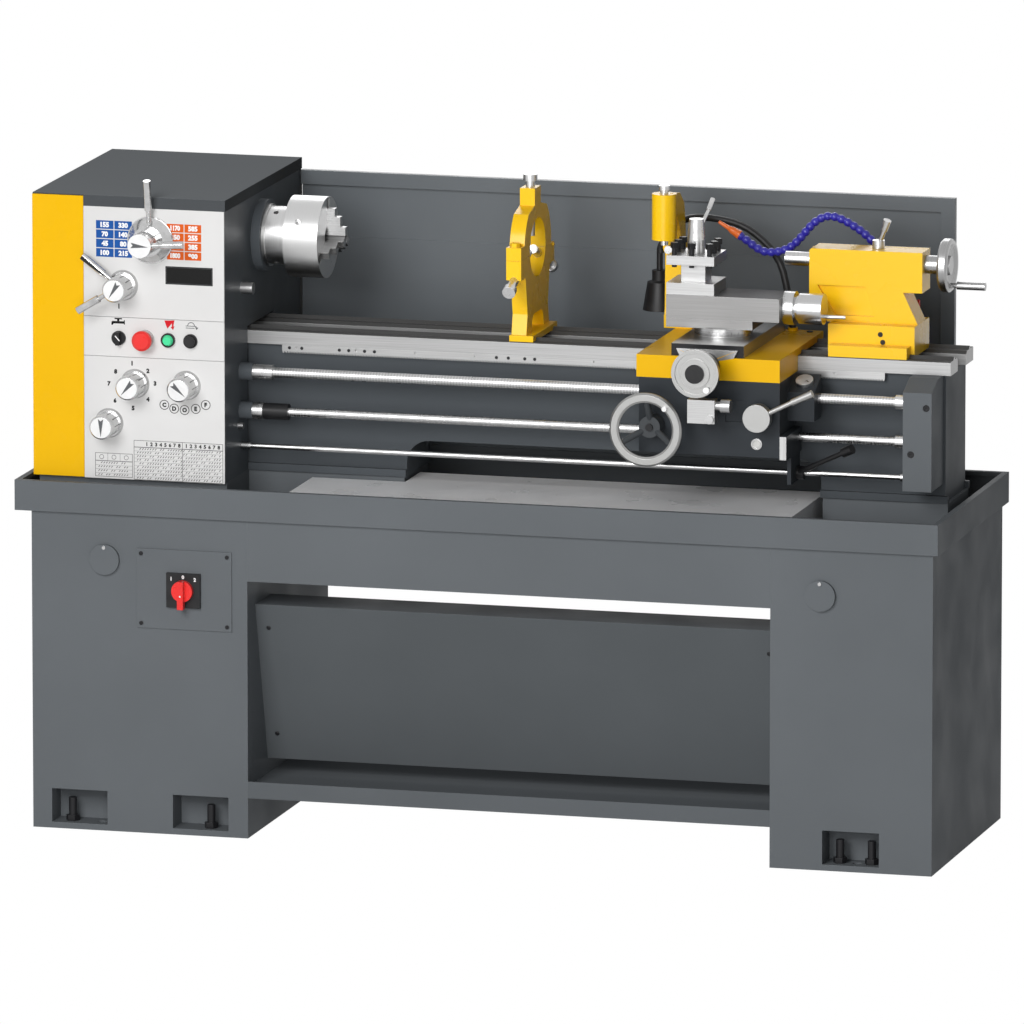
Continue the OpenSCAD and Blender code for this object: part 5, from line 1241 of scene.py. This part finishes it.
@dataclass
class Carriage:
    """Saddle, apron, slides, tool post and their controls."""

    wheel: Flat = (348.0, 851.0)
    slide_x: float = 452.0
    screw_z: float = 969.0
    post: Flat = (395.5, -101.0)
    post_screws: tuple[Flat, ...] = (
        (-35, -34), (0, -36), (35, -34), (-35, 34), (0, 36), (35, 34), (-36, 0), (36, 0))

    def build(self) -> None:
        """Dress the carriage and print its scales."""
        self.dress_saddle()
        self.dress_slides()
        self.dress_controls()
        self.scales()

    def dress_saddle(self) -> None:
        """Paint the saddle and the apron."""
        dress("saddle", Palette.YELLOW,
              (Palette.STEEL_Y, zone((388, -239, 986.03), (516, 110, 1001.5))),
              (Palette.BLACK_STEEL, disc(Axis.Z, (575, 87, 0), 6.15, 979, 989)))
        dress("apron", Palette.APRON,
              (Palette.CHROME, disc(Axis.Y, (552, 0, 821), 11.2, -242, -238.02)),
              (Palette.OIL, disc(Axis.Y, (552, 0, 821), 7.3, -240.2, -238.6)),
              (Palette.STEEL_Z, zone((597.2, -240, 790), (611, -238.02, 838))))

    def dress_slides(self) -> None:
        """Paint the cross slide, the compound and the tool post."""
        dress("cross_slide", Palette.STEEL_Y,
              (Palette.BLACK_STEEL, zone((379, -233, 985), (525, -231.9, 1009.4))))
        swivel = TurnedSteel("swivel_ring", (0.450, -0.100, 1.0), (1.0, 1.0, 0.0), (0.46, 0.46, 0.46), 0.26)
        # the upward faces of the compound and the top slide get painted shade
        everywhere = zone((300, -400, 900), (700, 200, 1300))
        dress("compound_base", Palette.SIDE,
              (swivel, disc(Axis.Z, (450, -100, 0), 57.4, 1009, 1026.5)),
              (Palette.DULL_AND_DARK_TOPS, facing_up(everywhere)))
        dress("top_slide", Palette.SIDE, (Palette.DULL_AND_DARK_TOPS, facing_up(everywhere)))
        dress("tool_post", Palette.STEEL_X,
              *[(Palette.BLACK_STEEL, disc(Axis.Z, (self.post[0] + dx, self.post[1] + dy, 0), 8.4, 1140, 1192))
                for dx, dy in self.post_screws])
        dress("tool_post_lever", Palette.SATIN)

    def dress_controls(self) -> None:
        """Paint the handwheels, knobs and levers of the carriage."""
        x, z = self.wheel
        rim = TurnedSteel("wheel_rim", (x * MM, 0.0, z * MM), (1.0, 0.0, 1.0), (0.33, 0.33, 0.325), 0.36)
        dress("carriage_handwheel", Palette.CAST,
              (rim, disc(Axis.Y, (x, 0, z), 73, -320, -296, 52.6)),
              (Palette.SATIN, disc(Axis.Y, (x + 59 * math.cos(math.radians(48)), 0,
                                           z + 59 * math.sin(math.radians(48))), 5.3, -320, -309.2)),
              (Palette.BLACK_STEEL, disc(Axis.Y, (x, 0, z), 7.2, -290, -276.02)))
        cross = TurnedSteel("cross_wheel", (self.slide_x * MM, 0.0, self.screw_z * MM), (1.0, 0.0, 1.0),
                            (0.34, 0.34, 0.335), 0.32)
        dress("cross_handwheel", cross,
              (Palette.BLACK, disc(Axis.Y, (self.slide_x, 0, self.screw_z), 18.7, -340, -330.02)),
              (Palette.SATIN, disc(Axis.Y, (self.slide_x + 24, 0, self.screw_z - 30), 6.2, -340, -330.02)),
              (Palette.BLACK, disc(Axis.Y, (self.slide_x, 0, self.screw_z), 26.3, -291.9, -238.1)))
        dress("half_nut_lever", TurnedSteel("lever_disc", (0.561, 0.0, 0.878), (1.0, 0.0, 1.0),
                                           (0.34, 0.34, 0.335), 0.34))
        dress("feed_selector", GroundSteel("selector_steel", Grain.ALONG_X, (0.40, 0.40, 0.40), 0.34))
        dress("start_lever", Palette.BLACK)
        dress("thread_dial", Palette.SATIN)
        dial = TurnedSteel("top_dial", (0.6, -0.100, 1.0655), (0.0, 1.0, 1.0), (0.54, 0.54, 0.54), 0.22)
        dress("top_slide_handle", dial)

    def scales(self) -> None:
        """Build the graduations of the cross-slide dial and the swivel ring."""
        shape = bmesh.new()
        for k in range(60):
            a = math.tau * k / 60
            reach = 6.0 if k % 5 == 0 else 3.2
            spot = Vector((self.slide_x + 33.1 * math.cos(a), 0.0, self.screw_z + 33.1 * math.sin(a)))
            self.tick(shape, mm(spot.x, -312.0 + reach / 2, spot.z), Vector((math.cos(a), 0, math.sin(a))),
                      Vector((0, 1, 0)), reach, 0.5)
        solid("cross_dial_ticks", shape, Mark.BLACK.value, "cross_handwheel")
        shape = bmesh.new()
        for k in range(50):
            a = math.tau * k / 50
            reach = 7.0 if k % 5 == 0 else 4.0
            self.tick(shape, mm(573.6 + reach / 2, -100 + 33.05 * math.cos(a), 1065.5 + 33.05 * math.sin(a)),
                      Vector((0, math.cos(a), math.sin(a))), Vector((1, 0, 0)), reach, 0.5)
        solid("top_dial_ticks", shape, Mark.BLACK.value, "top_slide_handle")
        shape = bmesh.new()
        for k in range(-20, 21):
            a = math.radians(-90 + 3 * k)
            reach = 8.0 if k % 5 == 0 else 4.5
            self.tick(shape, mm(450 + 57.05 * math.cos(a), -100 + 57.05 * math.sin(a), 1012.0 + reach / 2),
                      Vector((math.cos(a), math.sin(a), 0)), Vector((0, 0, 1)), reach, 0.6)
        solid("swivel_ticks", shape, Mark.BLACK.value, "compound_base")

    @staticmethod
    def tick(shape: Shape, spot: Vector, out: Vector, along: Vector, length: float,
             width: float) -> None:
        """Add a thin mark on a round face.

        Args:
            shape: Shape that gets the mark.
            spot: Middle of the mark.
            out: Direction away from the axis.
            along: Direction of the mark.
            length: Length in millimetres.
            width: Width in millimetres.
        """
        side = out.cross(along).normalized()
        corners = []
        for depth in (-0.25, 0.12):
            for a, b in ((-1, -1), (1, -1), (1, 1), (-1, 1)):
                corners.append(shape.verts.new(spot + out * depth * MM + side * a * width / 2 * MM
                                               + along * b * length / 2 * MM))
        low, high = corners[:4], corners[4:]
        shape.faces.new(list(reversed(low)))
        shape.faces.new(high)
        for k in range(4):
            n = (k + 1) % 4
            shape.faces.new((low[k], low[n], high[n], high[k]))


@dataclass
class Rests:
    """Follow rest, steady rest and work lamp."""

    mid_x: float = 305.0
    axis_z: float = 1145.0
    steady_x: float = 36.0

    def dress(self) -> None:
        """Paint the rests and the lamp."""
        x, z = self.mid_x, self.axis_z
        # the rests take the brighter copy of the yellow: painted light
        dress("follow_rest", Palette.LIT_YELLOW,
              (Palette.SATIN, disc(Axis.Z, (x, 0, 0), 8.2, z, z + 130)),
              (Palette.SATIN, disc(Axis.Z, (x, 0, 0), 16.3, z + 116.5, z + 140)),
              (Palette.SATIN, disc(Axis.Y, (x, 0, z), 8.2, 10, 140)),
              (Palette.SATIN, disc(Axis.Y, (x, 0, z), 15.3, 111.1, 140)),
              (Palette.DULL_AND_DARK_TOPS, disc(Axis.Y, (x, 0, z), 8.2, 9, 13)),
              *[(Palette.BLACK_STEEL, disc(Axis.Z, (332, y, 0), 6.2, z - 145, z - 120)) for y in (74, 93)])
        dress("work_lamp", Palette.BLACK, (Palette.BULB, disc(Axis.Z, (257, 150, 0), 14.3, 1030, 1084)))
        reach = 9.3
        fingers = []
        for angle in (90.0, 90.0 + 112.0, 90.0 - 112.0):
            fingers.append((Palette.SATIN, self.along(angle, reach, 8.0, 200.0)))
        fingers.append((Palette.SATIN, self.along(90.0, 14.4, 118.2, 145.0)))
        for angle in (90.0 + 112.0, 90.0 - 112.0):
            fingers.append((Palette.SATIN, self.along(angle, 13.4, 159.8, 176.0)))
        for node in ("steady_base", "steady_cap"):
            dress(node, Palette.LIT_YELLOW, *fingers)

    def along(self, angle: float, radius: float, start: float, end: float) -> Area:
        """Make a face test for a bar that points away from the steady rest's axis.

        Args:
            angle: Direction in degrees from +Y towards +Z.
            radius: Radius of the bar.
            start: Start from the axis.
            end: End from the axis.

        Returns:
            The test.
        """
        heading = Vector((0.0, math.cos(math.radians(angle)), math.sin(math.radians(angle))))
        origin = mm(self.steady_x, 0.0, self.axis_z)

        def test(spot: Vector, normal: Vector) -> bool:
            """Tell whether a face lies on the bar."""
            gap = spot - origin
            ahead = gap.dot(heading)
            return start * MM <= ahead <= end * MM and (gap - heading * ahead).length <= radius * MM
        return test


@dataclass
class Tailstock:
    """Tailstock with quill, handwheel and lock."""

    axis_z: float = 1145.0

    def dress(self) -> None:
        """Paint the tailstock."""
        # the tailstock takes the brighter copy of the yellow: painted light
        dress("tailstock_body", Palette.LIT_YELLOW,
              *[(Palette.BLACK_STEEL, disc(Axis.Y, (x, 0, z), 4.95, -61.5, -54.5))
                for x, z in ((752, 1014), (757, 999))])
        centre = (0.0, 0.0, self.axis_z * MM)
        dress("quill", TurnedSteel("turned_quill", centre, (0.0, 1.0, 1.0), (0.56, 0.56, 0.56), 0.22))
        dress("tailstock_handwheel",
              TurnedSteel("tail_wheel", centre, (0.0, 1.0, 1.0), (0.36, 0.36, 0.36), 0.28))
        dress("quill_lock", Palette.SATIN)


@dataclass
class CoolantHose:
    """Blue hose of ball segments with an orange nozzle, on a standpipe with a valve."""

    points: tuple[Spot, ...] = (
        (434, 72, 1176), (450, 72, 1165), (490, 72, 1143), (540, 72, 1155), (590, 72, 1207), (626, 72, 1218),
        (670, 75, 1198), (706, 80, 1167), (735, 95, 1120), (745, 130, 1050), (745, 162, 1025))
    segment: float = 14.0
    profile: tuple[float, ...] = (5.9, 7.3, 8.2, 8.6, 8.2, 7.3)
    pipe: Flat = (745.0, 180.0)
    floor: float = 633.0

    def build(self) -> None:
        """Build the hose, the nozzle and the standpipe."""
        fine = smooth_route([mm(*p) for p in self.points], 24)
        rings = len(self.profile)
        route = evenly(fine, self.segment / rings * MM)
        shape = bmesh.new()
        ribbed_tube(shape, route, lambda i: self.profile[i % rings] * MM)
        solid("coolant_hose_segments", shape, Palette.BLUE, "machine", "coolant_hose", smooth=60.0)
        self.nozzle()
        self.standpipe()

    def nozzle(self) -> None:
        """Build the orange nozzle at the hose's end."""
        start, end = mm(438, 72, 1173.5), mm(396, 72, 1198)
        run = (end - start).normalized()
        shape = bmesh.new()
        rings = [(0.0, 8.9), (5, 8.9), (6, 8.2), (17, 7.4), (24, 5.2), (25, 4.6)]
        turned(shape, start, run, [(a * MM, r * MM) for a, r in rings] + [((end - start).length, 3.1 * MM)], 32)
        solid("coolant_nozzle", shape, Palette.ORANGE, "machine", smooth=40.0)

    def standpipe(self) -> None:
        """Build the pipe that carries the hose, with its valve and foot."""
        x, y = self.pipe
        up = Vector((0, 0, 1))
        shape = bmesh.new()
        turned(shape, mm(x, y, self.floor), up, [(0.0, 22 * MM), (5 * MM, 22 * MM), (6 * MM, 21 * MM),
                                                  (6.2 * MM, 9.2 * MM), (380 * MM, 9.0 * MM)], 32)
        solid("coolant_pipe", shape, Palette.SATIN, "machine")
        shape = bmesh.new()
        brick(shape, mm(x - 13, y - 20, 1011), mm(x + 13, y + 13, 1039), 3 * MM)
        turned(shape, mm(x + 12, y, 1025), Vector((1, 0, 0)), [(0.0, 5 * MM), (12 * MM, 5 * MM)], 24)
        solid("coolant_valve", shape, Palette.BLACK_STEEL, "machine")
        shape = bmesh.new()
        brick(shape, mm(x + 21, y - 4, 1007), mm(x + 27, y + 4, 1043), 1.5 * MM)
        solid("coolant_valve_handle", shape, Palette.RED, "machine")


# ---------------------------------------------------------------- studio


@dataclass
class Studio:
    """Camera, floor and lamps."""

    place: Spot = (7.7466, -28.5521, 6.1591)
    back: Spot = (0.2574, -0.9486, 0.1841)
    lens: float = 542.3
    white: float = 1.0

    def camera(self) -> None:
        """Make the camera."""
        data = bpy.data.cameras.new("camera")
        data.lens, data.sensor_width = self.lens, 36.0
        data.clip_end = 200.0
        camera = bpy.data.objects.new("camera", data)
        camera.location = self.place
        camera.rotation_euler = (-Vector(self.back)).to_track_quat("-Z", "Y").to_euler()
        bpy.context.scene.collection.objects.link(camera)
        bpy.context.scene.camera = camera

    def floor(self) -> None:
        """Make the pale floor, which looks white to the camera but keeps shadows."""
        shape = bmesh.new()
        bmesh.ops.create_grid(shape, x_segments=2, y_segments=2, size=30.0)
        mesh = bpy.data.meshes.new("floor")
        shape.to_mesh(mesh)
        shape.free()
        material = bpy.data.materials.new("pale_floor")
        material.use_nodes = True
        tree = material.node_tree
        tree.nodes.clear()
        output = tree.nodes.new("ShaderNodeOutputMaterial")
        mix = tree.nodes.new("ShaderNodeMixShader")
        rays = self.seen(tree)
        glow = tree.nodes.new("ShaderNodeEmission")
        glow.inputs["Color"].default_value = (1.0, 1.0, 1.0, 1.0)
        glow.inputs["Strength"].default_value = self.white
        plain = tree.nodes.new("ShaderNodeBsdfDiffuse")
        plain.inputs["Color"].default_value = (0.8, 0.8, 0.8, 1.0)
        tree.links.new(rays, mix.inputs[0])
        tree.links.new(plain.outputs[0], mix.inputs[1])
        tree.links.new(glow.outputs[0], mix.inputs[2])
        tree.links.new(mix.outputs[0], output.inputs["Surface"])
        mesh.materials.append(material)
        floor = bpy.data.objects.new("floor", mesh)
        bpy.context.scene.collection.objects.link(floor)

    @staticmethod
    def seen(tree: bpy.types.NodeTree) -> bpy.types.NodeSocket:
        """Give 1 for rays that the camera, a mirror or a glass sends."""
        path = tree.nodes.new("ShaderNodeLightPath")
        total = path.outputs["Is Camera Ray"]
        for name in ("Is Glossy Ray", "Is Transmission Ray"):
            node = tree.nodes.new("ShaderNodeMath")
            node.operation = "MAXIMUM"
            tree.links.new(total, node.inputs[0])
            tree.links.new(path.outputs[name], node.inputs[1])
            total = node.outputs[0]
        return total

    def world(self) -> None:
        """Make the soft surrounding light with a white look."""
        world = bpy.data.worlds.new("studio")
        bpy.context.scene.world = world
        world.use_nodes = True
        tree = world.node_tree
        tree.nodes.clear()
        output = tree.nodes.new("ShaderNodeOutputWorld")
        mix = tree.nodes.new("ShaderNodeMixShader")
        soft = tree.nodes.new("ShaderNodeBackground")
        soft.inputs["Color"].default_value = (1.0, 1.0, 1.0, 1.0)
        soft.inputs["Strength"].default_value = 0.12
        bright = tree.nodes.new("ShaderNodeBackground")
        bright.inputs["Color"].default_value = (1.0, 1.0, 1.0, 1.0)
        bright.inputs["Strength"].default_value = self.white
        tree.links.new(self.seen(tree), mix.inputs[0])
        tree.links.new(soft.outputs[0], mix.inputs[1])
        tree.links.new(bright.outputs[0], mix.inputs[2])
        tree.links.new(mix.outputs[0], output.inputs["Surface"])

    @staticmethod
    def lamp(name: str, place: Spot, size: float, watts: float) -> None:
        """Make one soft area lamp that looks at the machine.

        Args:
            name: Name of the lamp.
            place: Position in metres.
            size: Side of the square lamp.
            watts: Power.
        """
        data = bpy.data.lights.new(name, "AREA")
        data.size, data.energy = size, watts
        lamp = bpy.data.objects.new(name, data)
        lamp.location = place
        aim = Vector((0.0, 0.0, 0.7)) - Vector(place)
        lamp.rotation_euler = aim.to_track_quat("-Z", "Y").to_euler()
        bpy.context.scene.collection.objects.link(lamp)

    def build(self) -> None:
        """Build the studio."""
        self.floor()
        self.world()
        self.lamp("key_lamp", (-1.0, -5.4, 3.4), 2.4, 190.0)
        self.lamp("front_lamp", (0.7, -6.4, 1.5), 3.2, 150.0)
        self.lamp("rear_lamp", (-1.0, 4.5, 3.4), 2.6, 60.0)
        bpy.context.scene.view_settings.view_transform = "Standard"


def main() -> None:
    """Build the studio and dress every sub-assembly."""
    logging.basicConfig(level=logging.INFO, format="%(name)s: %(message)s")
    studio = Studio()
    studio.camera()
    studio.build()
    Stand().build()
    Bed().build()
    Headstock().build()
    ControlPanel().build()
    Spindle().dress()
    FeedRods().dress()
    Carriage().build()
    Rests().dress()
    Tailstock().dress()
    CoolantHose().build()
    for name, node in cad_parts.items():
        if not node.data.materials or node.data.materials[0] is None:
            LOG.info("node %s has no finish", name)


if __name__ == "__main__":
    main()
